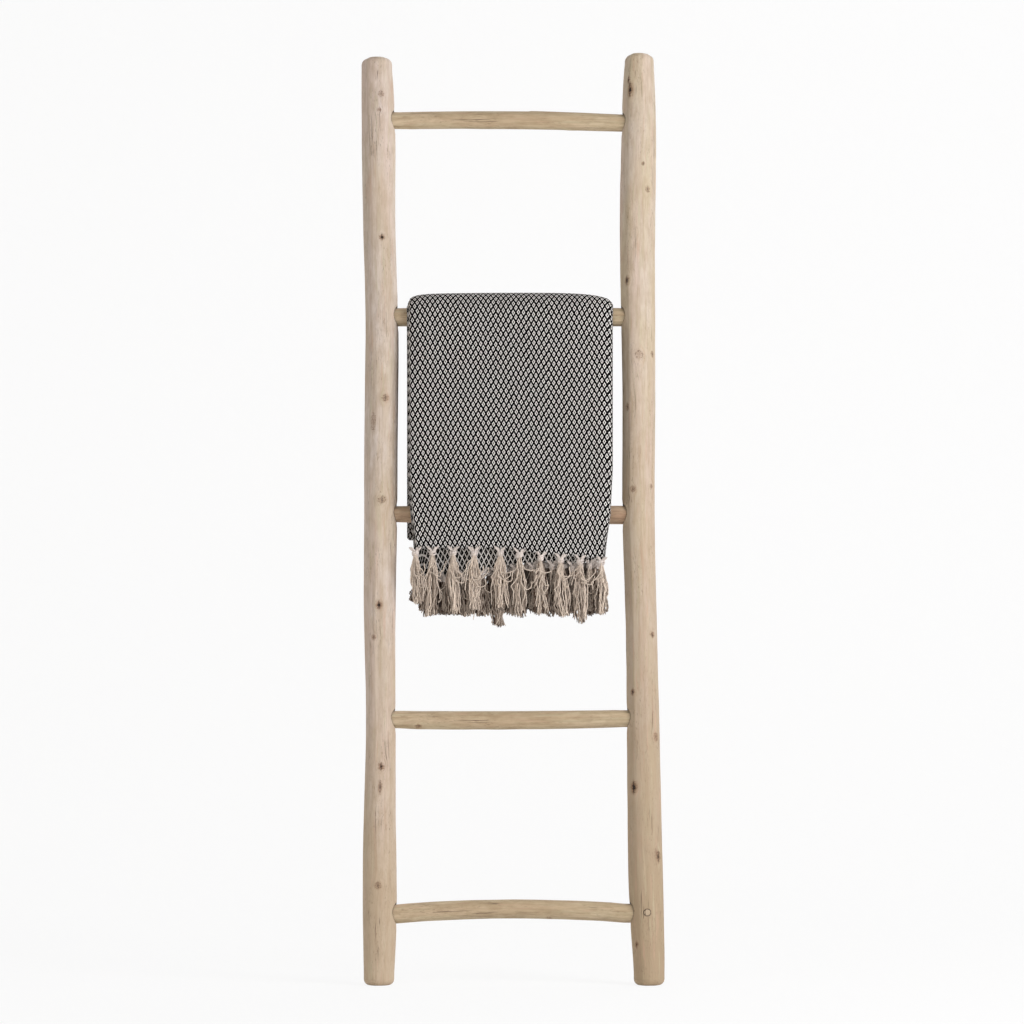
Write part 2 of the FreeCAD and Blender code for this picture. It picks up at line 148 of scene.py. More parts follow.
def spread(tree, value, low, high, toLow=0.0, toHigh=1.0, smooth=False):
    sockets = {"Value": value, "From Min": low, "From Max": high, "To Min": toLow,
               "To Max": toHigh}
    return addNode(tree, "MapRange", sockets, interpolation_type="SMOOTHSTEP" if smooth
                   else "LINEAR").outputs["Result"]


def blend(tree, share, first, second):
    return addNode(tree, "Mix", {"Factor": share, 6: first, 7: second},
                   data_type="RGBA").outputs[2]


def workOut(tree, operation, *values):
    return addNode(tree, "VectorMath", dict(enumerate(values)), operation=operation).outputs[0]


def noiseOf(tree, place, scale, seed=0.0, detail=3.0, roughness=0.5):
    # the scale is one number, or three that draw the noise out
    if isinstance(scale, tuple):
        place, scale = workOut(tree, "MULTIPLY", place, scale), 1.0
    sockets = {"Vector": place, "W": seed, "Scale": scale, "Detail": detail,
               "Roughness": roughness}
    return addNode(tree, "TexNoise", sockets, noise_dimensions="4D").outputs["Fac"]


def partsOf(tree, place):
    return addNode(tree, "SeparateXYZ", {0: place}).outputs


def attributeOf(tree, name, output="Fac"):
    return addNode(tree, "Attribute", attribute_name=name).outputs[output]


def openGroup(name, inputs):
    # an input without a value of its own is a vector
    tree = bpy.data.node_groups.new(name, "ShaderNodeTree")
    for socket, value in inputs.items():
        kind = "NodeSocketVector" if value is None else "NodeSocketFloat"
        made = tree.interface.new_socket(socket, in_out="INPUT", socket_type=kind)
        if value is not None:
            made.default_value = value
    return tree, tree.nodes.new("NodeGroupInput").outputs


def closeGroup(tree, outputs):
    for socket in outputs:
        tree.interface.new_socket(socket, in_out="OUTPUT", socket_type="NodeSocketFloat")
    result = tree.nodes.new("NodeGroupOutput")
    for socket, value in outputs.items():
        tree.links.new(value, result.inputs[socket])
    return tree


def useGroup(tree, group, sockets):
    return addNode(tree, "Group", sockets, node_tree=group).outputs


def newMaterial(name):
    material = bpy.data.materials.new(name)
    material.use_nodes = True
    return material, material.node_tree


def finishMaterial(tree, colour, roughness, height, depth, **others):
    bump = addNode(tree, "Bump", {"Height": height, "Distance": depth, "Strength": 1.0})
    shader = tree.nodes["Principled BSDF"]
    sockets = {"Base Color": colour, "Roughness": roughness, "Normal": bump.outputs[0],
               "Specular IOR Level": others.get("shine", 0.5),
               "Sheen Weight": others.get("sheen", 0.0)}
    for socket, value in sockets.items():
        feed(tree, shader.inputs[socket], value)


# the wood's patterns: scale across and along a pole, step from the wood's seed, detail,
# roughness, and whether the pattern follows the grain's drift
grainPatterns = {
    "Streaks": (260, 7, 0, 4, 0.5, True), "Fibres": (1300, 34, 0, 3, 0.5, True),
    "Patches": (34, 6, 0, 3, 0.5, False), "Warmth": (46, 3.2, 7, 2, 0.5, False),
    "Mottle": (120, 42, 9, 4, 0.62, False), "Green": (230, 16, 21, 3, 0.5, True),
    "Red": (230, 16, 33, 3, 0.5, True), "thin": (620, 13, 3, 2, 0.5, True),
    "where": (60, 14, 5, 2, 0.5, False), "pores": (900, 150, 11, 2, 0.5, True)}


def makeWoodGrain():
    # streaks, fibres, broad patches and fine splits that run along a pole
    tree, given = openGroup("woodGrain", {"Place": None, "Seed": 0.0})
    place, seed = given["Place"], given["Seed"]
    drift = noiseOf(tree, place, (30, 30, 9), seed, 2)
    sideStep = addNode(tree, "CombineXYZ", {
        "X": spread(tree, drift, 0, 1, -0.003, 0.003),
        "Y": spread(tree, drift, 0, 1, 0.002, -0.002), "Z": 0.0})
    bent = workOut(tree, "ADD", place, sideStep.outputs[0])
    found = {}
    for pattern, (wide, long, step, detail, roughness, drifts) in grainPatterns.items():
        found[pattern] = noiseOf(tree, bent if drifts else place, (wide, wide, long),
                                 plus(tree, seed, step), detail, roughness)
    thin, where, pores = (found.pop(pattern) for pattern in ("thin", "where", "pores"))
    found["Splits"] = times(tree, spread(tree, thin, 0.63, 0.7),
                            spread(tree, where, 0.52, 0.6))
    found["Specks"] = times(tree, spread(tree, pores, 0.6, 0.68),
                            spread(tree, where, 0.42, 0.6))
    height = timesPlus(tree, found["Streaks"], 0.5, found["Fibres"])
    height = minus(tree, height, times(tree, found["Splits"], 1.6))
    found["Height"] = timesPlus(tree, found["Mottle"], 0.7, height)
    return closeGroup(tree, found)


def makeKnotMarks():
    # a knot's dark heart, the broken ring about it, its stain and a crack along the grain
    tree, given = openGroup("knotMarks", {"Near": 4.0, "Aside": 9.0, "Dark": 0.0,
                                          "Place": None})
    dark = given["Dark"]
    rough = noiseOf(tree, given["Place"], 420, 0, 3)
    fine = noiseOf(tree, given["Place"], 1100, 4, 2)
    near = timesPlus(tree, rough, 1.5, minus(tree, given["Near"], 0.75))
    near = timesPlus(tree, fine, 0.5, minus(tree, near, 0.25))
    offRing = calculate(tree, "ABSOLUTE", minus(tree, near, 0.86))
    offCrack = calculate(tree, "ABSOLUTE", timesPlus(
        tree, rough, 0.7, minus(tree, given["Aside"], 0.35)))
    crack = times(tree, spread(tree, offCrack, 0.17, 0.05),
                  spread(tree, given["Near"], 1.6, 0.7, smooth=True))
    return closeGroup(tree, {
        "Heart": times(tree, spread(tree, near, 0.62, 0.3, smooth=True), dark),
        "Stain": times(tree, spread(tree, near, 1.8, 0.3, smooth=True),
                       spread(tree, dark, 0, 1, 0.4, 1)),
        "Ring": times(tree, spread(tree, offRing, 0.2, 0.05), spread(tree, fine, 0.42, 0.6)),
        "Crack": times(tree, crack, dark)})


def makeSawnRings():
    # growth rings and short drying checks on a sawn end
    tree, given = openGroup("sawnRings", {"Place": None, "Seed": 0.0})
    place, seed = given["Place"], given["Seed"]
    flat = workOut(tree, "MULTIPLY", place, (1, 1, 0))
    wobble = noiseOf(tree, place, (60, 60, 0), seed, 2)
    off = addNode(tree, "VectorMath", {0: flat}, operation="LENGTH").outputs["Value"]
    off = timesPlus(tree, wobble, 0.004, off)
    wave = calculate(tree, "SINE", times(tree, off, 2600.0))
    parts = partsOf(tree, flat)
    bearing = calculate(tree, "ARCTAN2", parts[1], parts[0])
    ray = addNode(tree, "CombineXYZ", {"X": calculate(tree, "SINE", bearing),
                                       "Y": calculate(tree, "COSINE", bearing)})
    spokes = noiseOf(tree, ray.outputs[0], (9, 9, 0), seed, 1)
    return closeGroup(tree, {
        "Rings": spread(tree, wave, -1, 1),
        "Checks": times(tree, spread(tree, spokes, 0.66, 0.7),
                        spread(tree, off, 0.004, 0.014))})


woodGrain = makeWoodGrain()
knotMarks = makeKnotMarks()
sawnRings = makeSawnRings()


def makeWood(name, look):
    material, tree = newMaterial(name)
    place = attributeOf(tree, "grainPlace", "Vector")
    grain = useGroup(tree, woodGrain, {"Place": place, "Seed": look["seed"]})
    marks = useGroup(tree, knotMarks, {
        "Near": attributeOf(tree, "knotNear"), "Aside": attributeOf(tree, "knotAside"),
        "Dark": attributeOf(tree, "knotDark"), "Place": place})
    ends = useGroup(tree, sawnRings, {"Place": place, "Seed": look["seed"]})
    cut = attributeOf(tree, "sawnEnd")
    rings = spread(tree, ends["Rings"], 0.3, 1, 0.1, 0.6)
    layers = (  # how much of each colour, laid one over the other
        (spread(tree, grain["Warmth"], 0.45, 0.7, 0, 0.65), "pink"),
        (spread(tree, partsOf(tree, place)[2], look["lowTo"], 0.05, 0, look["lowShare"]),
         "low"),
        (spread(tree, grain["Mottle"], 0.42, 0.66, 0, 0.45), "streak"),
        (spread(tree, grain["Green"], 0.56, 0.7, 0, 0.5), "green"),
        (spread(tree, grain["Red"], 0.58, 0.7, 0, 0.45), "red"),
        (spread(tree, grain["Streaks"], 0.5, 0.78, 0, 0.55), "streak"),
        (spread(tree, grain["Fibres"], 0.5, 0.78, 0, 0.6), "streak"),
        (times(tree, grain["Splits"], 0.7), "split"),
        (times(tree, grain["Specks"], 0.45), "split"),
        (times(tree, cut, rings), "streak"),
        (times(tree, cut, ends["Checks"]), "split"),
        (times(tree, marks["Stain"], 0.75), "stain"),
        (times(tree, marks["Ring"], 0.8), "split"),
        (marks["Crack"], "heart"),
        (marks["Heart"], "heart"),
        # painted shade: the inside of each mortise and peg hole, and its rim, in the knot heart's
        # dark colour
        (attributeOf(tree, "holeShade"), "heart"))
    colour = blend(tree, spread(tree, grain["Patches"], 0.34, 0.68, smooth=True),
                   look["pale"], look["tan"])
    for share, tone in layers:
        colour = blend(tree, share, colour, look[tone])
    height = minus(tree, grain["Height"], times(tree, marks["Crack"], 1.4))
    height = minus(tree, height, times(tree, marks["Heart"], 1.3))
    finishMaterial(tree, colour, spread(tree, grain["Streaks"], 0.3, 0.8, 0.56, 0.74),
                   height, look["relief"], shine=0.3)
    return material


railLook = {"seed": 1.3, "pale": paint(219, 206, 196), "tan": paint(206, 189, 169),
            "pink": paint(218, 196, 185), "streak": paint(176, 152, 126),
            "green": paint(196, 186, 156), "red": paint(200, 164, 142),
            "split": paint(92, 66, 48), "stain": paint(146, 108, 80),
            "heart": paint(38, 24, 17), "low": paint(192, 171, 143), "lowTo": 0.6,
            "lowShare": 0.85, "relief": 0.0006}
rightRailLook = dict(railLook, seed=4.1, pale=paint(213, 199, 184), tan=paint(203, 187, 160),
                     low=paint(171, 150, 121), lowTo=1.05, lowShare=0.95)
rungLook = dict(railLook, seed=8.6, pale=paint(211, 195, 166), tan=paint(193, 174, 143),
                pink=paint(202, 172, 144), streak=paint(152, 127, 97), lowShare=0.0)
redRungLook = dict(rungLook, seed=9.9, pale=paint(198, 174, 148), tan=paint(182, 154, 126),
                   pink=paint(184, 148, 122), streak=paint(142, 110, 86))
woods = {"left_rail": makeWood("railWoodLeft", railLook),
         "right_rail": makeWood("railWoodRight", rightRailLook),
         "rung": makeWood("rungWood", rungLook),
         "rung_3": makeWood("rungWoodRed", redRungLook)}
print("wood ready")


def measurePole(node, axes, origin, guess, heights):
    # fits a circle to the solid at each height, and leaves its mortises and peg holes out
    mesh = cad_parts[node].data
    tree = BVHTree.FromPolygons([v.co for v in mesh.vertices],
                                [tuple(p.vertices) for p in mesh.polygons])
    sideA, sideB, along = axes
    reach = 70 * mm
    spine = []
    for height in heights:
        start = origin + sideA * guess[0] + sideB * guess[1] + along * height
        hits = []
        for angle in np.linspace(0, turn, 36, endpoint=False):
            outward = sideA * math.cos(angle) + sideB * math.sin(angle)
            hit = tree.ray_cast(Vector(start + outward * reach), Vector(-outward), reach)[0]
            if hit is not None:
                hits.append(((np.array(hit) - origin) @ sideA, (np.array(hit) - origin) @ sideB))
        hits = np.array(hits)
        kept = np.ones(len(hits), bool)
        for _ in range(5):
            x, y = hits[kept].T
            found = np.linalg.lstsq(np.stack((x, y, np.ones_like(x)), -1), x * x + y * y,
                                    rcond=None)[0]
            centre = found[:2] / 2
            radius = math.sqrt(found[2] + centre @ centre)
            off = np.abs(np.linalg.norm(hits - centre, axis=1) - radius)
            kept = off < max(0.25 * mm, np.median(off) * 2)
        spine.append((height, centre[0], centre[1], radius))
    return np.array(spine).T


# a knot against its own radius: how far it swells, its heart sinks and the grain runs round it
knotShape = {"swell": 0.2, "swellReach": 2.1, "sink": 0.28, "sinkReach": 0.55,
             "squeezeReach": 1.3, "swerve": 0.8, "swerveReach": 6}


def makePole(name, plan):
    # rings about the measured axis, with flats, knots, eased ends and open mortises
    heights, spineA, spineB, spineRadius = plan["spine"]
    start, end, ease = plan["start"], plan["end"], plan["ease"]
    body = np.unique(np.concatenate(plan["rows"]).round(5))
    body = body[(body > start + ease) & (body < end - ease)]
    bend = np.linspace(0, math.pi / 2, 5)
    easeHeight, easeInset = ease * (1 - np.cos(bend)), ease * (1 - np.sin(bend))
    cap = np.array((0.03, 0.2, 0.4, 0.6, 0.8, 0.94))
    height = np.concatenate((np.full(6, start), start + easeHeight, body,
                             (end - easeHeight)[::-1], np.full(6, end)))[:, None]
    inset = np.concatenate((np.full(6, ease), easeInset, 0 * body, easeInset[::-1],
                            np.full(6, ease)))[:, None]
    share = np.concatenate((cap, np.ones(len(body) + 10), cap[::-1]))[:, None]
    angle = np.linspace(0, turn, plan["columns"], endpoint=False)[None, :]
    level = np.clip(height, start + ease, end - ease)
    centreA, centreB = np.interp(level, heights, spineA), np.interp(level, heights, spineB)
    base = np.interp(level, heights, spineRadius) + 0 * angle
    skin = np.stack((base * np.cos(angle), base * np.sin(angle), level + 0 * angle), -1)

    # swells, and flats where the knife took the bark off, none of them near a joint
    swell = ripple(skin * (1, 1, 0.16), plan["seed"], 45 * mm) * plan["swell"]
    swell += ripple(skin * (1, 1, 0.25), plan["seed"] + 1, 14 * mm) * plan["swell"] * 0.3
    full = base + plan["fullness"]
    pull = plan["flatSoftness"]
    total = np.exp(-swell / pull)
    for bearing, middle, half, depth in plan["flats"]:
        window = np.clip(1.1 - ((level - middle) / half) ** 2, 0, 1)
        facing = np.cos(angle - bearing)
        flat = (full - depth * window) / np.maximum(facing, 0.3)
        total = total + np.where(facing > 0.3, np.exp(-(flat - full) / pull), 0) * (window > 0)
    shape = full - pull * np.log(total)
    calm = np.ones_like(shape)
    for hole in plan["holes"]:
        bearing = {"a": 0, "b": math.pi / 2}[hole["axis"]] + (0 if hole["side"] > 0 else math.pi)
        aside = (angle - bearing + math.pi) % turn - math.pi
        off = np.hypot(aside * base, level - hole["height"])
        calm *= smoothStep(off, hole["rim"] * 1.05, hole["rim"] + plan["calmReach"])
    radius = base + (shape - base) * calm

    # knots: a swelling with a sunken heart, and grain that runs round it
    warped = angle + 0 * level
    knotNear, knotAside = np.full(radius.shape, 4.0), np.full(radius.shape, 9.0)
    knotDark = np.zeros(radius.shape)
    for bearing, middle, size, dark, tall in plan["knots"]:
        aside = ((angle - bearing + math.pi) % turn - math.pi) * base
        off = np.hypot(aside, (level - middle) / tall)
        swelling = np.exp(-(off / (size * knotShape["swellReach"])) ** 2)
        sinking = np.exp(-(off / (size * knotShape["sinkReach"])) ** 2)
        radius = radius + size * knotShape["swell"] * swelling
        radius = radius - size * knotShape["sink"] * dark * sinking
        squeeze = np.minimum(1, (size * knotShape["squeezeReach"] / np.maximum(off, 1e-6)) ** 2)
        fade = np.exp(-(off / (size * knotShape["swerveReach"])) ** 2)
        warped = warped - aside / base * squeeze * knotShape["swerve"] * fade
        closer = off / size < knotNear
        knotNear = np.where(closer, off / size, knotNear)
        knotDark = np.where(closer, dark, knotDark)
        knotAside = np.where(closer, aside / size, knotAside)
    radius = (radius - inset) * share

    a, b = centreA + radius * np.cos(angle), centreB + radius * np.sin(angle)
    c = height + 0 * angle
    if plan["sawnLevel"]:  # the foot is sawn level with the floor, which the lean tilts
        slant = np.clip(1 - (height - start) / (60 * mm), 0, 1)
        c = c + b * math.tan(ladder["lean"]) * slant
    holeShade = np.zeros_like(a)
    for hole in plan["holes"]:
        depthways, sideways = (a, b) if hole["axis"] == "a" else (b, a)
        middle = centreA if hole["axis"] == "a" else centreB
        facing = (depthways - middle) * hole["side"] > 0
        asideBy, upBy = sideways - hole["aside"], c - hole["height"]
        off = np.hypot(asideBy, upBy)
        onRim = facing & (np.abs(off - hole["rim"]) < plan["snap"])
        tighten = np.where(onRim, hole["rim"] / np.maximum(off, 1e-6), 1)
        c = np.where(onRim, hole["height"] + upBy * tighten, c)
        moved = np.where(onRim, hole["aside"] + asideBy * tighten, sideways)
        inside = facing & (off <= hole["rim"] - plan["snap"])
        pushed = np.where(inside, middle + hole["side"] * (base - hole["depth"]), depthways)
        a, b = (pushed, moved) if hole["axis"] == "a" else (moved, pushed)
        # painted shade: 1 inside a hole and 0.75 on its rim
        holeShade = np.maximum(holeShade, inside * 1.0 + onRim * 0.75)
    points = (plan["origin"] + a[..., None] * plan["axes"][0] + b[..., None] * plan["axes"][1]
              + c[..., None] * plan["axes"][2])
    place = np.stack((radius * np.cos(warped), radius * np.sin(warped), c), -1)
    sawnEnd = np.where(share < 1, 1.0, np.where(inset > ease * 0.6, 0.8, 0.0)) + 0 * a
    rows, columns = a.shape
    faces = gridFaces(rows, columns, True).tolist()
    faces.append(list(range(columns))[::-1])
    faces.append([(rows - 1) * columns + column for column in range(columns)])
    piece = newPiece(name, points, faces, plan["material"], "ladder",
                     {"grainPlace": place, "knotNear": knotNear, "knotDark": knotDark,
                      "knotAside": knotAside, "sawnEnd": sawnEnd, "holeShade": holeShade})
    piece.data.set_sharp_from_angle(angle=math.radians(48))
    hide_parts(plan["node"])


# Knots are (bearing, place along, radius, darkness, how drawn out), and flats are
# (bearing, middle, half length, depth).
rungs = {
    "names": ["rung_1", "rung_2", "rung_3", "rung_4", "rung_5"],
    "columns": 72,
    "spacing": 4 * mm,
    "swell": 0.5 * mm,
    "fullness": 0.4 * mm,
    "flatSoftness": 0.06 * mm,
    "flatCount": 16,
    "endFlats": 7,
    "ease": 1.2 * mm,
    "calmReach": 10 * mm,
    "snap": 0.5 * mm,
    "sawnLevel": False,
    "holes": [],
    "slot": "rung_wood",
    "nodeKnots": {"rung_4": [(-2.2, -144 * mm, 4.5 * mm, 0.8, 1.0)],
                  "rung_1": [(-1.2, 96 * mm, 3 * mm, 0.3, 1.6)],
                  "rung_5": [(-1.9, 60 * mm, 3 * mm, 0.25, 1.5)]},
}
rungSpines = {}


def makeRungs():
    for number, node in enumerate(rungs["names"]):
        low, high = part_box(node)
        middle = middleOf(node)
        axes = (backward, upward, across)
        rungSpines[node] = measurePole(node, axes, foot, (middle @ backward, middle @ upward),
                                       np.linspace(-176 * mm, 176 * mm, 45))
        draw = np.random.default_rng(40 + number)
        flats = [(draw.uniform(0, turn), draw.uniform(-150, 150) * mm,
                  draw.uniform(50, 160) * mm, draw.uniform(0.2, 0.8) * mm)
                 for _ in range(rungs["flatCount"])]
        for end in (-1, 1):
            first = draw.uniform(0, 1)
            flats += [(turn * (step + first + draw.uniform(-0.15, 0.15)) / rungs["endFlats"],
                       end * 196 * mm, draw.uniform(26, 44) * mm, draw.uniform(0.5, 1.0) * mm)
                      for step in range(rungs["endFlats"])]
        rows = [np.arange(low.x, high.x, rungs["spacing"]),
                np.arange(-188 * mm, -150 * mm, 2 * mm), np.arange(150 * mm, 188 * mm, 2 * mm)]
        makePole(f"rungPole{number + 1}", dict(
            rungs, node=node, axes=axes, origin=foot, spine=rungSpines[node], start=low.x,
            end=high.x, rows=rows, seed=300 + 7 * number, flats=flats,
            knots=rungs["nodeKnots"].get(node, []), material=woods.get(node, woods["rung"])))


makeRungs()
print("rungs made")

# The knots that show at the front are (across from the rail's place, height, radius, darkness,
# how drawn out), and the others and the long flats begin with a bearing.
rails = {
    "columns": 128,
    "spacing": 5 * mm,
    "finer": 1 * mm,
    "swell": 0.45 * mm,
    "fullness": 0.55 * mm,
    "flatSoftness": 0.06 * mm,
    "flatCount": 26,
    "ease": 9.5 * mm,
    "calmReach": 9 * mm,
    "snap": 0.55 * mm,
    "sawnLevel": True,
    "slot": "rail_wood",
    "gap": 1.5 * mm,
    "gapRise": 1.1 * mm,
    "mortiseDepth": 38.8 * mm,
    "pegRim": 5.6 * mm,
    "pegDepth": 2.5 * mm,
    "longFlats": {"left_rail": [(-2.6, 1.1, 1.0, 2.2), (-0.72, 0.8, 0.9, 1.2)],
                  "right_rail": [(-2.62, 0.95, 0.95, 2.4), (-1.0, 1.2, 0.5, 0.9)]},
    "frontKnots": {
        "left_rail": [
            (-2.3, 1424.6, 4, 0.25, 1.2), (-5.4, 1398, 3, 0.2, 1), (0.3, 1189.7, 4, 0.95, 1.2),
            (6.1, 927.9, 5, 0.35, 1), (-12, 890, 4, 0.15, 3.5), (2.1, 763.4, 6, 0.35, 1),
            (-1.9, 595.4, 4.5, 0.95, 1.3), (-9.5, 544.4, 3.5, 0.4, 1.2),
            (2.4, 339.1, 4.5, 0.9, 1.2), (0.9, 306.8, 3, 0.5, 3.5), (-1.5, 152, 5, 0.4, 1)],
        "right_rail": [
            (-15.5, 1450, 3.2, 0.95, 1.8), (-13.2, 1433, 4.4, 0.95, 2.4),
            (6.4, 1309.3, 2.5, 0.6, 1.2), (13.4, 1268.3, 4, 0.3, 1.2),
            (-19.7, 1119.5, 5, 0.9, 1.3), (-1.2, 997.5, 6, 0.1, 1.2),
            (19.3, 1000.8, 3.5, 0.4, 1.2), (-20.5, 914.9, 4.5, 0.5, 1.4),
            (-11.6, 781.1, 4.5, 0.3, 1.2), (16.7, 787.5, 3.5, 0.3, 1), (17.2, 549.1, 4, 0.6, 1),
            (-12.9, 457.8, 4.5, 0.8, 1), (21.9, 387.3, 4, 0.4, 1.6),
            (-11.9, 306.8, 6.4, 0.95, 1.3), (24.9, 198.3, 5, 0.7, 1.6),
            (-8.2, 60.6, 3.5, 0.7, 1.2)]},
    "otherKnots": {"left_rail": [(1.2, 1300, 5, 0.8, 1.2), (2.3, 1010, 6, 0.5, 1),
                                 (1.8, 620, 5, 0.9, 1.2), (1.9, 240, 6, 0.7, 1.1)],
                   "right_rail": [(2.0, 1180, 5, 0.6, 1.2), (1.1, 860, 6, 0.9, 1.1),
                                  (2.4, 520, 5, 0.5, 1.3), (1.5, 150, 6, 0.8, 1)]},
}


def railHoles(side, sign, originX):
    # where the pegs come out of a rail, and the mortises that the rungs' ends go into
    holes = []
    for number in range(1, 6):
        middle = middleOf(f"peg_{side}_{number}")
        holes.append({"axis": "b", "side": 1 if middle @ backward > 0 else -1,
                      "aside": middle[0] - originX, "height": middle @ upward,
                      "rim": rails["pegRim"], "depth": rails["pegDepth"]})
    for rung in rungs["names"]:
        _, rungOut, rungUp, rungRadius = rungSpines[rung][:, 0 if sign < 0 else -1]
        holes.append({"axis": "a", "side": -sign, "aside": rungOut,
                      "height": rungUp + rails["gapRise"],
                      "rim": rungRadius + rails["gap"], "depth": rails["mortiseDepth"]})
    return holes


def makeRails():
    for side, sign in (("left", -1), ("right", 1)):
        node = side + "_rail"
        originX = sign * ladder["railPlace"]
        origin = foot + across * originX
        axes = (across, backward, upward)
        corners = np.array([v.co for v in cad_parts[node].data.vertices]) - origin
        length = (corners @ upward).max()
        spine = measurePole(node, axes, origin, (0, 0),
                            np.arange(18 * mm, length - 8 * mm, 12 * mm))
        holes = railHoles(side, sign, originX)
        draw = np.random.default_rng(90 + sign)
        flats = [(draw.uniform(0, turn), draw.uniform(0, 1.5), draw.uniform(0.1, 0.34),
                  draw.uniform(0.3, 1.15) * mm) for _ in range(rails["flatCount"])]
        flats += [(bearing, middle, half, depth * mm)
                  for bearing, middle, half, depth in rails["longFlats"][node]]
        knots = []
        for aside, height, size, dark, tall in rails["frontKnots"][node]:
            level = height * mm
            centre = np.interp(level, spine[0], spine[1])
            wide = np.interp(level, spine[0], spine[3])
            aside = np.clip((aside * mm - centre) / wide, -0.96, 0.96)
            knots.append((-math.acos(aside), level, size * mm, dark, tall))
        knots += [(bearing, height * mm, size * mm, dark, tall)
                  for bearing, height, size, dark, tall in rails["otherKnots"][node]]
        spots = [(hole["height"], hole["rim"] + 2 * mm, rails["finer"]) for hole in holes]
        spots += [(level, size * tall * 1.6, 1.5 * mm) for _, level, size, _, tall in knots]
        rows = [np.arange(0, length, rails["spacing"])]
        rows += [np.arange(middle - reach, middle + reach, step)
                 for middle, reach, step in spots]
        makePole(side + "RailPole", dict(
            rails, node=node, axes=axes, origin=origin, spine=spine, start=0.0, end=length,
            rows=rows, seed=500 + sign, flats=flats, holes=holes, knots=knots,
            material=woods[node]))


makeRails()
print("rails made")

pegs = {"seed": 12.2, "pale": paint(190, 170, 144), "tan": paint(176, 154, 126),
        "streak": paint(176, 152, 126), "split": paint(92, 66, 48),
        "splitAside": foot[0] + middleOf("peg_right_5")[0] - 1.5 * mm}


def makePegWood():
    material, tree = newMaterial("pegWood")
    place = addNode(tree, "TexCoord").outputs["Object"]
    grain = useGroup(tree, woodGrain, {"Place": place, "Seed": pegs["seed"]})
    spots = noiseOf(tree, place, 700, 2.0)
    # the one head that shows has a split down its middle
    aside = minus(tree, partsOf(tree, place)[0], pegs["splitAside"])
    aside = calculate(tree, "ABSOLUTE", timesPlus(tree, spots, 0.003, aside))
    colour = blend(tree, spread(tree, grain["Patches"], 0.35, 0.65), pegs["pale"], pegs["tan"])
    for share, tone in ((spread(tree, spots, 0.5, 0.75, 0, 0.6), "streak"),
                        (spread(tree, grain["Fibres"], 0.6, 0.75, 0, 0.5), "split"),
                        (spread(tree, aside, 0.0007, 0.0003, 0, 0.85), "split")):
        colour = blend(tree, share, colour, pegs[tone])
    finishMaterial(tree, colour, spread(tree, spots, 0.3, 0.7, 0.6, 0.75), spots, 0.0004)
    return material


def dressPegs():
    # the pegs are the solids themselves
    pegWood = makePegWood()
    for side in ("left", "right"):
        for number in range(1, 6):
            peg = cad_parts[f"peg_{side}_{number}"]
            peg.data.materials.clear()
            peg.data.materials.append(pegWood)


dressPegs()

throw = {
    "flat": (1.3, 1.7),
    "thickness": 1.7 * mm,
    "pitch": 3.1 * mm,
    "layers": 8,
    "left": -163.5 * mm,
    "right": 161.5 * mm,
    "crestInside": 14.85 * mm,
    "kneeInside": 15.1 * mm,
    "rungTwo": (65.35 * mm, 1041.4 * mm),
    "rungThree": (-1.1 * mm, 728.7 * mm),
    "backOuter": 347 * mm,
    "backInner": 350.5 * mm,
    "foldHalf": 15 * mm,
    # the half that starts at the first hem and the half that turns back: each panel's depth
    # in the stack, how far each fold bulges in layers, and the selvage's inset
    "halves": {"A": ((0, 7, 4, 3), (3.5, 1.5, 0.5), 4.5 * mm),
               "B": ((1, 6, 5, 2), (2.5, 0.5, 1.5), 2.5 * mm)},
    # the hems below rung 3, from left to right
    "hemPlaces": mm * np.array([-163, -134, -100, -57, -24, 4, 40, 66, 98, 126, 150]),
    "outerHem": mm * np.array([53, 52, 51.5, 52, 52, 54, 59, 62.5, 64.5, 66.5, 68]),
    "innerHem": mm * np.array([98, 99, 92, 88, 85, 79, 74, 73, 76, 72, 73]),
    "edgeHeights": mm * np.array([560, 660, 690, 741, 800, 1080]),
    "leftEdge": mm * np.array([-149.5, -150, -152.5, -157.5, -161.5, -163.5]),
    "rightEdge": mm * np.array([154, 155.6, 155.3, 156.8, 160, 161]),
    "backRight": mm * np.array([145, 147.5, 149, 155.5, 159.5, 161.5]),
    # how far the stack is pressed together towards its edges, over the crest: (share, reach)
    "leftPress": ((0.33, 3.5 * mm), (0.32, 13 * mm), (0.10, 60 * mm)),
    "rightPress": ((0.15, 2.5 * mm), (0.53, 26 * mm)),
    "frontPress": 0.32,
    # soft upright creases: (place, width, depth)
    "creases": ((137 * mm, 5 * mm, 1.5 * mm), (-147 * mm, 5 * mm, 1.1 * mm),
                (-120 * mm, 9 * mm, 0.7 * mm), (112 * mm, 8 * mm, 0.6 * mm)),
    "hemForward": 6.5 * mm,
    "rollKept": 0.2,
    "hemPull": 3.0 * mm,
    "pullReach": 6 * mm,
}

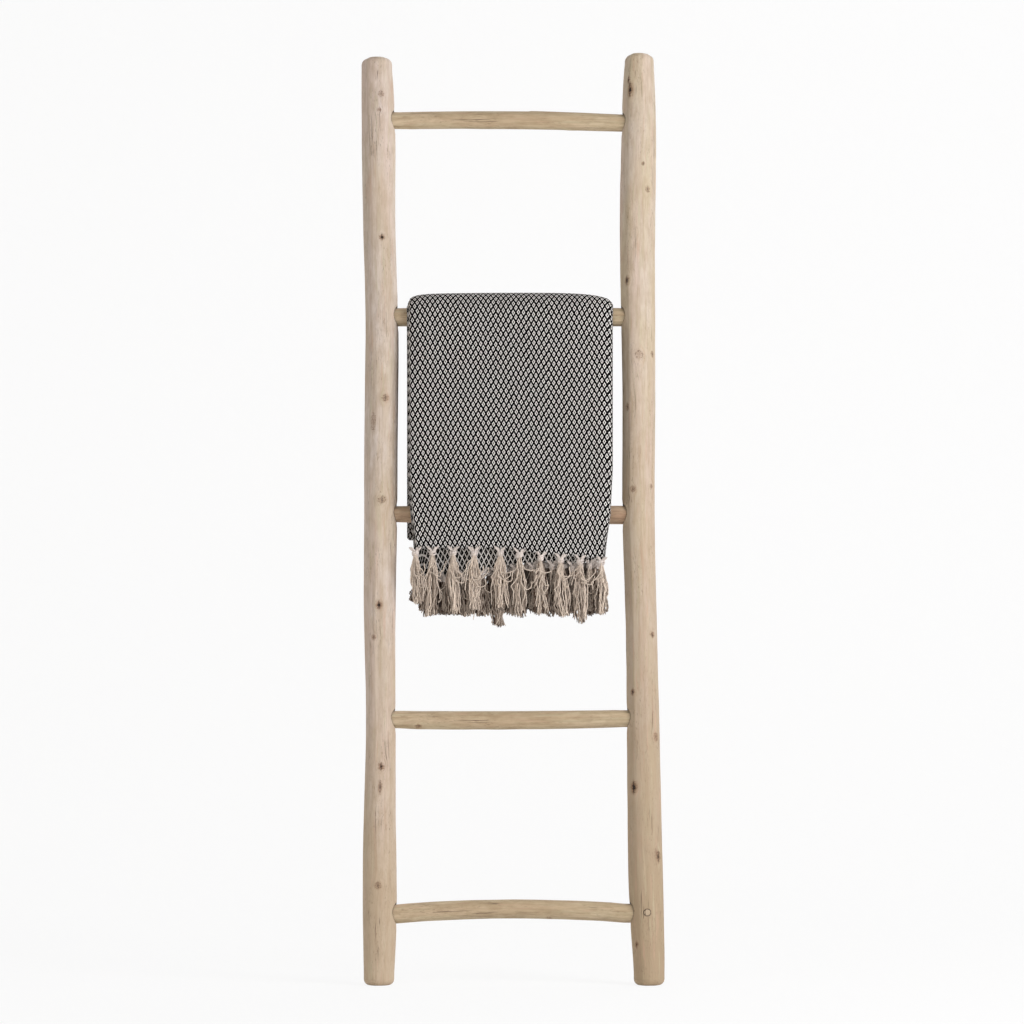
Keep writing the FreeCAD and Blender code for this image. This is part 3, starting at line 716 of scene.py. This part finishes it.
# The tassels' rows from the outermost inwards. A group of three gives the outermost row, the
# next, and each of the six inside them.
fringes = {
    "count": 10,
    "rows": 8,
    "firstPlaces": mm * np.array([-150, -122, -90, -57, -16, 14, 47, 78.4, 109, 142]),
    "firstLengths": mm * np.array([78, 100, 99, 92, 90, 96, 90, 88, 95, 83]),
    "secondPlaces": mm * np.array([-134, -101.6, -72, -44, -21.2, 8, 34, 66, 98, 124]),
    "lowestTassel": (1, 4),
    "lowestBy": 20 * mm,
    "knotDrop": 6 * mm,
    "lowest": 572 * mm,
    "longest": 93 * mm,
    "mostRight": 142 * mm,
    # each row's painted shade: the rows deeper in the stack are painted darker
    "lit": (1.0, 0.72, 0.36, 0.3, 0.3, 0.36, 0.6, 0.9),
    "waves": ((1.0, 1.3, 0.15), (0.75, 3.2, 0.4), (0.4, 7.5, 1.0)),
    "inThrees": {"yarns": (54, 42, 30), "points": (32, 32, 20), "sides": (6, 6, 5),
                 "width": (25 * mm, 25 * mm, 32 * mm), "depth": (13 * mm, 8 * mm, 5 * mm),
                 "forward": (-5 * mm, -1.5 * mm, 0.0), "inset": (1.5 * mm, 9 * mm, 9 * mm),
                 "yarn": (0.8 * mm, 0.8 * mm, 0.85 * mm), "wraps": (5, 5, 4),
                 "gathered": (14, 14, 8), "strays": (2, 1, 0), "loops": (3, 1, 0)},
}


def tasselPlaces(row):
    if row < 2:
        return fringes["firstPlaces" if row == 0 else "secondPlaces"]
    draw = np.random.default_rng(700 + row)
    inset = 8 + 26 * ((3 * row) % 8) / 8
    steps = np.arange(fringes["count"])
    return throw["left"] + (inset + 29.6 * steps + draw.uniform(-4, 4, len(steps))) * mm


def hemDrop(depth, x):
    # how far a layer's hem hangs below rung 3, with the pull of its tassels
    outer = np.interp(x, throw["hemPlaces"], throw["outerHem"])
    inner = np.interp(x, throw["hemPlaces"], throw["innerHem"])
    lift = np.random.default_rng(720).uniform(-3.5, 1.0, 9) * mm
    lift[1] = 0
    inner = inner + np.interp(depth, np.arange(9), lift)
    drop = outer + (inner - outer) * np.clip(depth, 0, 1)
    pulled = sum(np.exp(-((x - place) / throw["pullReach"]) ** 2)
                 for place in tasselPlaces(int(round(float(np.median(depth))))))
    return drop + (pulled - 0.45) * throw["hemPull"]


def flareAt(drop, depth):
    # the layers stand further apart the further they hang
    return (drop / (90 * mm)) ** 2 * (1 - depth / throw["layers"]) * 4 * mm


def edgeAt(edge, height):
    return np.interp(height, throw["edgeHeights"], throw[edge])


def throwColumns():
    # distances across the flat cloth, closer together at its folds and selvages
    width = throw["flat"][0]
    quarter = width / 4
    stops = [np.arange(panel * quarter, (panel + 1) * quarter, 5 * mm) for panel in range(4)]
    stops += [fold * quarter + np.linspace(-1, 1, 17) * throw["foldHalf"] for fold in (1, 2, 3)]
    stops += [np.array([1, 2.5]) * mm, width - np.array([0, 1, 2.5]) * mm]
    stops = np.unique(np.concatenate(stops).round(5))
    apart = np.concatenate(([1], np.diff(stops)))
    return stops[apart > 0.6 * mm]


def foldPlace(distance, half):
    # where a strip of the cloth lies across the throw, and how deep in the stack
    depths, bulges, selvage = throw["halves"][half]
    quarter, zone, pitch = throw["flat"][0] / 4, throw["foldHalf"], throw["pitch"]
    rightEnd, leftEnd = throw["right"] - 3.5 * pitch, throw["left"] + 1.5 * pitch
    fromX = (throw["left"] + selvage, rightEnd, leftEnd, rightEnd)
    toX = (rightEnd, leftEnd, rightEnd, throw["left"] + 1.5 * mm)
    x, depth = np.zeros_like(distance), np.zeros_like(distance)
    for panel in range(4):
        start, end = panel * quarter, (panel + 1) * quarter
        runStart, runEnd = start + (zone if panel else 0), end - (zone if panel < 3 else 0)
        inPanel = (distance >= start) & (distance <= end)
        share = np.clip((distance - runStart) / (runEnd - runStart), 0, 1)
        x = np.where(inPanel, fromX[panel] + (toX[panel] - fromX[panel]) * share, x)
        depth = np.where(inPanel, depths[panel], depth)
    for fold in range(3):
        swing = (distance - (fold + 1) * quarter + zone) / (2 * zone) * math.pi
        inFold = (swing > 0) & (swing < math.pi)
        edge, outwards = (leftEnd, -1) if fold == 1 else (rightEnd, 1)
        centre = (depths[fold] + depths[fold + 1]) / 2
        span = (depths[fold + 1] - depths[fold]) / 2
        x = np.where(inFold, edge + bulges[fold] * pitch * outwards * np.sin(swing), x)
        depth = np.where(inFold, centre - span * np.cos(swing), depth)
    return x, depth


def throwStations():
    # one run of the cloth from its hem to the fold behind: (kind, share along that part)
    parts = [("drop", np.concatenate((np.linspace(0, 0.3, 6), np.linspace(0.4, 1, 6))))]
    parts += [(kind, np.linspace(0, 1, count)[1:]) for kind, count in
              (("knee", 5), ("slope", 34), ("crest", 22), ("back", 30))]
    return [(kind, share) for kind, shares in parts for share in shares]


def layDown(kind, share, x, depth, bottom):
    # the place of one row of the cloth
    press = sum(part * np.exp(-np.maximum(x - throw["left"], 0) / reach)
                for part, reach in throw["leftPress"])
    press = press + sum(part * np.exp(-np.maximum(throw["right"] - x, 0) / reach)
                        for part, reach in throw["rightPress"])
    least = throw["frontPress"]
    fade = {"crest": 1, "slope": least + (1 - least) * smoothStep(share, 0.55, 1.0),
            "back": 1 - smoothStep(share, 0.0, 0.35)}.get(kind, least)
    inward = (throw["layers"] - depth - 0.5) * throw["pitch"] * (1 - press * fade)
    crest, knee = throw["crestInside"] + inward, throw["kneeInside"] + inward
    (y2, z2), (y3, z3) = throw["rungTwo"], throw["rungThree"]
    flat = math.pi - ladder["lean"]
    outward = np.array((0, -1, 0))
    if kind == "drop":
        drop = hemDrop(depth, x) * (1 - share)
        ahead = np.clip(1 - depth, 0, 1) * smoothStep(throw["right"] - x, 10 * mm, 45 * mm)
        y = y3 - knee - flareAt(drop, depth) - ahead * throw["hemForward"] * (1 - share) ** 2
        z = z3 - drop
        # the roll of the right fold flattens towards the hem
        rollStart = throw["right"] - 3.5 * throw["pitch"]
        kept = throw["rollKept"] + (1 - throw["rollKept"]) * share
        x = np.where(x > rollStart, rollStart + (x - rollStart) * kept, x)
    elif kind == "knee":
        angle = math.pi - ladder["lean"] * share
        y, z = y3 + knee * math.cos(angle), z3 + knee * math.sin(angle)
    elif kind == "slope":
        outward = np.array((0, math.cos(flat), math.sin(flat)))
        y = (y3 + knee * outward[1]) * (1 - share) + (y2 + crest * outward[1]) * share
        z = (z3 + knee * outward[2]) * (1 - share) + (z2 + crest * outward[2]) * share
    elif kind == "crest":
        angle = flat * (1 - share)
        outward = np.array((0, math.cos(angle), math.sin(angle)))
        y, z = y2 + crest * outward[1], z2 + crest * outward[2]
    else:
        outward = np.array((0, 1, 0))
        y, z = y2 + crest, z2 - bottom * share
    place = np.stack((x, y + 0 * x, z + 0 * x), -1)
    if kind != "crest":
        left = throw["left"] if kind == "back" else edgeAt("leftEdge", place[..., 2])
        right = edgeAt("backRight" if kind == "back" else "rightEdge", place[..., 2])
        fraction = (x - throw["left"]) / (throw["right"] - throw["left"])
        place[..., 0] = left + (right - left) * fraction
    # slow waves that the whole stack shares
    size = {"drop": 1.3, "knee": 0.5, "slope": 0.5 + 5 * share * (1 - share), "crest": 0.35,
            "back": 0.5 + 2.2 * share}[kind] * mm
    spot = np.stack((place[..., 0], place[..., 2] * 0.6, 0 * x + (kind == "back")), -1)
    wave = ripple(spot, 810, 150 * mm, 7) * 0.6 * size
    if kind in ("drop", "knee", "slope"):
        for middle, wide, deep in throw["creases"]:
            strength = 0.6 + 0.4 * ripple(spot * (0, 1, 0), int(middle / mm) + 900, 190 * mm, 4)
            wave = wave - deep * np.exp(-((x - middle) / wide) ** 2) * strength
    return place + outward * wave[..., None]


def makeThrow():
    columns, stations = throwColumns(), throwStations()
    (xA, depthA), (xB, depthB) = foldPlace(columns, "A"), foldPlace(columns, "B")
    middle = (depthA + depthB) / 2
    bottom = throw["backOuter"] + (throw["backInner"] - throw["backOuter"]) * middle / 7
    bottom = bottom + ripple(np.stack((xA, middle * 0.05, 0 * xA), -1), 820, 160 * mm) * 2 * mm
    rowsA = [layDown(kind, share, xA, depthA, bottom) for kind, share in stations]
    rowsB = [layDown(kind, share, xB, depthB, bottom) for kind, share in stations]
    last, first = rowsA[-1], rowsB[-1]
    between = (last - first) / 2
    deep = np.linalg.norm(between, axis=-1)[:, None]
    loop = [(last + first) / 2 + between * math.cos(swing)
            - np.array((0, 0, 1)) * deep * math.sin(swing)
            for swing in np.linspace(0, math.pi, 9)[1:-1]]
    rows = np.array(rowsA + loop + rowsB[::-1])
    steps = np.linalg.norm(np.diff(rows, axis=0), axis=-1)
    along = np.concatenate((np.zeros((1, len(columns))), np.cumsum(steps, axis=0)))
    place = np.stack((np.broadcast_to(columns, along.shape), along, 0 * along), -1)
    sheetPiece = newPiece("foldedThrow", rows, gridFaces(*along.shape, False).tolist(),
                          cloths["face"], "throw", {"clothPlace": place})
    sheetPiece.data.materials.append(cloths["reverse"])
    thick = sheetPiece.modifiers.new("thickness", "SOLIDIFY")
    thick.thickness = throw["thickness"]
    thick.offset = 0
    thick.material_offset = 1
    thick.use_even_offset = False
    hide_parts("throw")
    return sheetPiece


weave = {"wide": 0.008, "tall": 0.0153, "threads": 10.0, "picks": 14.0,
         "wander": (0.0022, 0.0034, 0), "round": -3.2, "raised": 0.35, "fuzz": 0.3}


def makeDiamondWeave():
    # a pointed twill: each small cell shows one thread, and the cells draw diamonds with a dot
    tree, given = openGroup("diamondWeave", {"Place": None, "Line": 0.2, "Dot": 0.157})
    place = given["Place"]
    wander = addNode(tree, "TexNoise", {"Vector": place, "Scale": 16.0, "Detail": 3.0,
                                        "Roughness": 0.35}).outputs["Color"]
    shift = workOut(tree, "SUBTRACT", wander, (0.5, 0.5, 0.5))
    shift = workOut(tree, "MULTIPLY", shift, weave["wander"])
    parts = partsOf(tree, workOut(tree, "ADD", place, shift))
    steps, rounds = [], []
    for part, size, count in ((parts[0], weave["wide"], weave["threads"]),
                              (parts[1], weave["tall"], weave["picks"])):
        cell = times(tree, calculate(tree, "DIVIDE", part, size), count)
        # a float of yarn ends partly along the diagonal and partly square
        stepped = plus(tree, calculate(tree, "FLOOR", cell), 0.5)
        mixed = times(tree, plus(tree, stepped, cell), 0.5)
        steps.append(calculate(tree, "DIVIDE", mixed, count))
        off = minus(tree, calculate(tree, "FRACT", cell), 0.5)
        rounds.append(timesPlus(tree, times(tree, off, off), weave["round"], 0.8))
    rising, falling = (
        calculate(tree, "ABSOLUTE", minus(tree, calculate(tree, "FRACT", total), 0.5))
        for total in (plus(tree, *steps), minus(tree, *steps)))
    furthest = calculate(tree, "MAXIMUM", rising, falling)
    body = calculate(tree, "LESS_THAN", furthest, minus(tree, 0.5, given["Line"]))
    dot = calculate(tree, "LESS_THAN", furthest, given["Dot"])
    inside = times(tree, body, minus(tree, 1.0, dot))
    height = plus(tree, times(tree, rounds[1], inside),
                  times(tree, rounds[0], minus(tree, 1.0, inside)))
    height = timesPlus(tree, inside, weave["raised"], height)
    fuzz = noiseOf(tree, place, 900)
    height = timesPlus(tree, fuzz, weave["fuzz"], height)
    return closeGroup(tree, {"Inside": inside, "Height": height, "Fuzz": fuzz})


diamondWeave = makeDiamondWeave()


def makeCloth(name, look):
    material, tree = newMaterial(name)
    woven = useGroup(tree, diamondWeave, {"Place": attributeOf(tree, "clothPlace", "Vector"),
                                          "Line": look["line"], "Dot": look["dot"]})
    yarn = {"ink": blend(tree, woven["Fuzz"], look["inkDeep"], look["ink"]),
            "white": blend(tree, spread(tree, woven["Fuzz"], 0.35, 0.7), look["white"],
                           look["whiteDim"])}
    colour = blend(tree, woven["Inside"], yarn[look["lines"]], yarn[look["diamonds"]])
    finishMaterial(tree, colour, 0.92, woven["Height"], 0.00035, shine=0.08)
    return material


faceLook = {"line": 0.2, "dot": 0.157, "ink": paint(20, 17, 18), "inkDeep": paint(5, 4, 4),
            "white": paint(254, 252, 250), "whiteDim": paint(228, 223, 219),
            "lines": "ink", "diamonds": "white"}
reverseLook = dict(faceLook, line=0.115, dot=0.065, white=paint(246, 241, 236),
                   lines="white", diamonds="ink")
cloths = {"face": makeCloth("throwRightSide", faceLook),
          "reverse": makeCloth("throwReverseSide", reverseLook)}
foldedThrow = makeThrow()
print("throw folded")


def makeYarnTwist():
    tree, given = openGroup("yarnTwist", {"Place": None, "Turns": 420.0})
    parts = partsOf(tree, given["Place"])
    along = times(tree, parts[1], given["Turns"])
    wave = calculate(tree, "SINE", times(tree, turn, timesPlus(tree, parts[0], 2.0, along)))
    return closeGroup(tree, {"Ply": spread(tree, wave, -1, 1),
                             "Fuzz": noiseOf(tree, given["Place"], (3, 900, 1), parts[2])})


yarnTwist = makeYarnTwist()


def makeYarn(name, pale, deep):
    material, tree = newMaterial(name)
    twist = useGroup(tree, yarnTwist, {"Place": attributeOf(tree, "yarnPlace", "Vector")})
    # each yarn's own tone together with its painted shade, from a deep brown to pale
    colour = blend(tree, attributeOf(tree, "yarnToneAndPaintedShade"), deep, pale)
    # painted shade in the grooves between the plies
    colour = blend(tree, spread(tree, twist["Ply"], 0.5, 0.0, 0, 0.25), colour, deep)
    height = timesPlus(tree, twist["Fuzz"], 0.5, twist["Ply"])
    finishMaterial(tree, colour, 0.9, height, 0.0004, shine=0.15, sheen=0.15)
    return material


yarns = {"skirt": makeYarn("tasselYarn", paint(246, 229, 212), paint(68, 44, 28)),
         "knot": makeYarn("knotYarn", paint(238, 228, 222), paint(188, 174, 164))}


def addYarns(store, lines, radius, shades, sides, kind):
    # tubes of yarn along lines, which is (yarns, points, 3)
    yarnCount, rows, _ = lines.shape
    ahead = np.gradient(lines, axis=1)
    ahead /= np.maximum(np.linalg.norm(ahead, axis=-1, keepdims=True), 1e-9)
    aside = np.cross(ahead, np.array((0, 1.0, 0.02)))
    aside /= np.maximum(np.linalg.norm(aside, axis=-1, keepdims=True), 1e-9)
    other = np.cross(ahead, aside)
    angle = np.linspace(0, turn, sides, endpoint=False)
    thick = np.ones(rows)
    thick[0] = thick[-1] = 0.55
    ring = (aside[:, :, None] * np.cos(angle)[:, None]
            + other[:, :, None] * np.sin(angle)[:, None])
    points = lines[:, :, None] + ring * (thick[:, None] * radius)[None, :, :, None]
    run = np.concatenate((np.zeros((yarnCount, 1)), np.cumsum(
        np.linalg.norm(np.diff(lines, axis=1), axis=-1), axis=1)), axis=1)
    shade = shades[:, None, None]
    place = np.stack([np.broadcast_to(part, points.shape[:3])
                      for part in (angle / turn, run[:, :, None], shade * 40)], -1)
    faces = gridFaces(rows, sides, True)[:, ::-1]
    caps = (np.arange(sides), np.arange(sides)[::-1] + (rows - 1) * sides)
    done = sum(len(part) for part in store["points"])
    for base in done + np.arange(yarnCount) * rows * sides:
        store["faces"] += (faces + base).tolist() + [(cap + base).tolist() for cap in caps]
        store["kinds"] += [kind] * (len(faces) + 2)
    store["points"].append(points.reshape(-1, 3))
    store["place"].append(place.reshape(-1, 3))
    store["shade"].append(np.broadcast_to(shade, points.shape[:3]).ravel())


def hangTassel(store, draw, knot, length, plan):
    # the yarns leave the knot, open into a skirt and end in a few pointed clumps
    x, y, z = knot
    count, sides = plan["yarns"], plan["sides"]
    share = np.linspace(0, 1, plan["points"])[None, :]
    bearing = draw.uniform(0, turn, count)
    outward = np.sqrt(draw.uniform(0.04, 1, count))
    wide = plan["width"] / 2 * draw.uniform(0.88, 1.12)
    clump = draw.integers(0, 3, count)
    clumpX = (np.array((-0.66, 0.0, 0.66)) + draw.normal(0, 0.1, 3))[clump]
    clumpLength = (1 + draw.uniform(-0.07, 0.02, 3))[clump]
    spreadX, spreadY = outward * np.cos(bearing), outward * np.sin(bearing)
    opening = smoothStep(share, 0.0, 0.6) ** 0.65
    gather = smoothStep(share, 0.45, 1.0)
    skirtX = wide * (spreadX[:, None] * (0.95 - 0.4 * gather) + clumpX[:, None] * 0.5 * gather)
    skirtY = plan["depth"] / 2 * spreadY
    neckX, neckY = 2.7 * mm * spreadX, 2.0 * mm * spreadY
    lengths = length * clumpLength * (1 - 0.06 * draw.uniform(0, 1, count) ** 2
                                      - 0.04 * np.abs(spreadX))
    sway = draw.normal(0, 2.5 * mm)
    waveX, waveY = 0, 0
    lock = spreadX[:, None] * 2.2 + clump[:, None] * 2.0
    for size, turns, own in fringes["waves"]:  # yarns that lie together wave together
        reach = size * mm * smoothStep(share, 0, 0.3) * (1 + own * draw.normal(0, 0.5, (count, 1)))
        pace = turns * (1 + own * draw.normal(0, 0.2, (count, 1))) * turn
        start = draw.uniform(0, turn) + lock + own * draw.uniform(0, turn, (count, 1))
        waveX = waveX + reach * np.sin(pace * share + start)
        waveY = waveY + reach * 0.7 * np.sin(pace * share + start * 1.3 + 1.0)
    curl = draw.normal(0, 1.4 * mm, (count, 1)) * smoothStep(share, 0.8, 1.0) ** 2
    lineX = x + neckX[:, None] * (1 - opening) + skirtX * opening + waveX + curl
    lineX = lineX + sway * share ** 2
    lineY = y + neckY[:, None] * (1 - opening) + skirtY[:, None] * opening + waveY
    lineY = lineY + plan["forward"] * smoothStep(share, 0.0, 0.5)
    lineZ = z - 2 * mm - lengths[:, None] * share
    # painted shade: yarns at the back of the skirt and close to its middle are painted darker,
    # over a random tone for each yarn
    behind = smoothStep(spreadY, -0.2, 0.6)
    shades = np.clip(draw.normal(0.84, 0.28, count) - 0.7 * behind - 0.3 * (1 - outward), 0, 1)
    addYarns(store, np.stack((lineX, lineY, lineZ), -1), plan["yarn"], shades * plan["lit"],
             sides, 0)

    # the knot: strands wound about the bundle, one tilted against the next
    wraps = plan["wraps"]
    swing = np.linspace(0, turn, 15)[None, :] + draw.uniform(0, turn)
    levels = np.linspace(-3.0, 3.0, wraps)[:, None] * mm
    girth = 4.1 * mm * draw.uniform(0.9, 1.12) * np.sqrt(1 - (levels / (5.4 * mm)) ** 2)
    tilt = draw.uniform(0.9, 2.2, (wraps, 1)) * mm
    lag = draw.uniform(0, 1.6, (wraps, 1))
    wound = np.stack((x + girth * 1.1 * np.cos(swing), y + girth * 0.9 * np.sin(swing),
                      z + levels + tilt * np.sin(swing + lag)), -1)
    addYarns(store, wound, 1.45 * mm, draw.uniform(0.4, 1, wraps), sides, 1)

    # the gathered ends of the cloth above the knot, drawn in from both sides
    strands = plan["gathered"]
    side = np.where(np.arange(strands) % 2 == 0, -1, 1)[:, None]
    fan = side * draw.uniform(0.25, 1.0, (strands, 1))
    down = np.linspace(0, 1, 8)[None, :]
    topX = x + fan * 10.5 * mm
    gatherX = topX + (x + fan * 2.6 * mm - topX) * smoothStep(down, -0.1, 0.8)
    gatherY = y - 1.3 * mm + draw.uniform(-0.7, 0.7, (strands, 1)) * mm + 0 * down
    hem = throw["rungThree"][1] - hemDrop(plan["row"], topX)
    rise = hem + draw.uniform(0.5, 3.0, (strands, 1)) * mm
    gatherZ = rise + (z + 1.5 * mm - rise) * down - np.abs(fan) * 1.6 * mm * np.sin(math.pi * down)
    addYarns(store, np.stack((gatherX, gatherY, gatherZ), -1), 0.95 * mm,
             draw.uniform(0.5, 1, strands), sides, 1)


def addStrays(store, draw, knots, plan):
    # single yarns that have come loose: some hang in curls, some loop to the next tassel
    share = np.linspace(0, 1, 34)
    for x, y, z in knots:
        front = y + plan["forward"] - plan["depth"] / 2
        for _ in range(plan["strays"]):
            side = draw.choice((-1, 1)) if abs(x) < 130 * mm else -np.sign(x)
            reach = draw.uniform(6, 16) * mm * side
            length = draw.uniform(35, 82) * mm
            loop = draw.uniform(3, 8) * mm
            swing = draw.uniform(1.0, 2.4) * turn * share + draw.uniform(0, turn)
            lineX = x + reach * smoothStep(share, 0, 0.8)
            lineX = lineX + loop * share * (1 - share) * 2.2 * np.sin(swing)
            lineZ = z - length * share + loop * share * np.cos(swing) * 0.9
            lineY = front - (1 + 1.5 * np.sin(math.pi * share)) * mm * draw.uniform(0.3, 1)
            addYarns(store, np.stack((lineX, lineY, lineZ), -1)[None], plan["yarn"] * 0.85,
                     np.array([draw.uniform(0.7, 1)]), plan["sides"], 0)
        for _ in range(plan["loops"] if x < 130 * mm else 0):
            startX, endX = x + draw.uniform(-5, 5) * mm, x + draw.uniform(9, 24) * mm
            startZ, endZ = z - draw.uniform(8, 34) * mm, z - draw.uniform(8, 44) * mm
            sag = draw.uniform(6, 24) * mm
            lineX = startX + (endX - startX) * smoothStep(share, 0, 1)
            lineX = lineX + 1.4 * mm * np.sin(turn * share * 2.3 + draw.uniform(0, turn))
            lineZ = startZ + (endZ - startZ) * share - sag * 4 * share * (1 - share)
            lineY = front - 2.2 * mm * np.sin(math.pi * share) * draw.uniform(0.4, 1)
            addYarns(store, np.stack((lineX, lineY, lineZ), -1)[None], plan["yarn"] * 0.9,
                     np.array([draw.uniform(0.75, 1)]), plan["sides"], 0)


def makeFringe(row):
    draw = np.random.default_rng(900 + row)
    plan = {name: choices[min(row, 2)] for name, choices in fringes["inThrees"].items()}
    plan.update(row=row, lit=fringes["lit"][row])
    y3, z3 = throw["rungThree"]
    store = {"points": [], "faces": [], "place": [], "shade": [], "kinds": []}
    knots = []
    for number, x in enumerate(tasselPlaces(row)):
        drop = hemDrop(row, x)
        z = z3 - drop - fringes["knotDrop"]
        y = y3 - throw["kneeInside"] - (throw["layers"] - row - 0.5) * throw["pitch"]
        y -= flareAt(drop, row) + (throw["hemForward"] if row == 0 else 0)
        x = np.clip(x, edgeAt("leftEdge", z) + plan["inset"], fringes["mostRight"])
        length = fringes["firstLengths"][number]
        if row > 0:  # the inner rows end at one level, and a little higher at the sides
            lowest = fringes["lowest"] + (22 * mm if x < -138 * mm or x > 136 * mm else 0)
            length = min(fringes["longest"], z - lowest - draw.uniform(-3, 10) * mm)
        if (row, number) == fringes["lowestTassel"]:
            length += fringes["lowestBy"]
        hangTassel(store, draw, (x, y, z), length, plan)
        knots.append((x, y, z))
    addStrays(store, draw, knots, plan)
    piece = newPiece(f"tasselRow{row + 1}", np.concatenate(store["points"]), store["faces"],
                     yarns["skirt"], "throw",
                     {"yarnPlace": np.concatenate(store["place"]),
                      "yarnToneAndPaintedShade": np.concatenate(store["shade"])})
    piece.data.materials.append(yarns["knot"])
    piece.data.polygons.foreach_set("material_index", np.array(store["kinds"], np.int32))
    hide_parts(f"fringe_{row + 1}")
    return piece


fringePieces = [makeFringe(row) for row in range(fringes["rows"])]
print("tassels hung")

studio = {
    "cameraPlace": (2.3 * mm, -10.0, 0.733),
    "lens": 223.35,
    "white": 0.97,
    "shown": 0.86,
    "sky": 0.37,
    "aim": (0, 0, 0.75),
    # name, place, size, power and colour
    "lamps": (("keyLamp", (3.2, -2.6, 2.0), 1.9, 122, (1, 0.985, 0.99)),
              ("fillLamp", (-2.6, -3.6, 1.2), 2.6, 34, (1, 0.92, 0.82)),
              ("backLamp", (0.6, 2.6, 2.8), 1.8, 24, (1, 1, 1))),
}


def addToScene(name, data):
    made = bpy.data.objects.new(name, data)
    bpy.context.scene.collection.objects.link(made)
    return made


def seenShare(tree):
    # 1 where the camera sees something, straight, in a mirror or through glass
    path = addNode(tree, "LightPath").outputs
    return calculate(tree, "MAXIMUM", path["Is Camera Ray"], calculate(
        tree, "MAXIMUM", path["Is Glossy Ray"], path["Is Transmission Ray"]))


def makeSweep():
    # a floor that curves up into a backdrop, seen nearly white but still taking shadows
    profile = [(-13.0, 0.0), (1.6, 0.0)]
    profile += [(1.6 + 1.0 * math.sin(angle), 1.0 - 1.0 * math.cos(angle))
                for angle in np.linspace(0.1, math.pi / 2, 14)]
    profile.append((2.6, 6.0))
    points = [(x, y, z) for y, z in profile for x in (-9.0, 9.0)]
    mesh = bpy.data.meshes.new("sweep")
    mesh.from_pydata(points, [], gridFaces(len(profile), 2, False).tolist())
    mesh.polygons.foreach_set("use_smooth", np.ones(len(mesh.polygons), bool))
    material, tree = newMaterial("paleSweep")
    tree.nodes.clear()
    plain = addNode(tree, "BsdfDiffuse", {"Color": (studio["white"],) * 3 + (1,)})
    bright = addNode(tree, "Emission", {"Color": (1, 1, 1, 1), "Strength": 1.0})
    clear = addNode(tree, "BsdfTransparent", {"Color": (1, 1, 1, 1)})
    seen = seenShare(tree)
    # seen through from behind, so that it never hides the object
    behind = times(tree, seen, addNode(tree, "NewGeometry").outputs["Backfacing"])
    mixed = addNode(tree, "MixShader", {0: times(tree, seen, studio["shown"]),
                                        1: plain.outputs[0], 2: bright.outputs[0]})
    mixed = addNode(tree, "MixShader", {0: behind, 1: mixed.outputs[0], 2: clear.outputs[0]})
    addNode(tree, "OutputMaterial", {0: mixed.outputs[0]})
    mesh.materials.append(material)
    addToScene("sweep", mesh)


def makeLight():
    world = bpy.data.worlds.new("studioSky")
    bpy.context.scene.world = world
    world.use_nodes = True
    tree = world.node_tree
    tree.nodes.clear()
    strength = spread(tree, seenShare(tree), 0, 1, studio["sky"], 1.0)
    sky = addNode(tree, "Background", {"Color": (1, 1, 1, 1), "Strength": strength})
    addNode(tree, "OutputWorld", {0: sky.outputs[0]})
    for name, place, size, power, colour in studio["lamps"]:
        light = bpy.data.lights.new(name, "AREA")
        light.size = size
        light.energy = power
        light.color = colour
        lamp = addToScene(name, light)
        lamp.location = place
        aim = Vector(studio["aim"]) - Vector(place)
        lamp.rotation_euler = aim.to_track_quat("-Z", "Y").to_euler()


def makeCamera():
    camera = addToScene("camera", bpy.data.cameras.new("camera"))
    camera.data.lens = studio["lens"]
    camera.data.sensor_width = 36
    camera.data.clip_end = 60
    camera.location = studio["cameraPlace"]
    camera.rotation_euler = (math.pi / 2, 0, 0)
    bpy.context.scene.camera = camera


makeSweep()
makeLight()
makeCamera()
bpy.context.scene.view_settings.view_transform = "Standard"
print("studio ready")
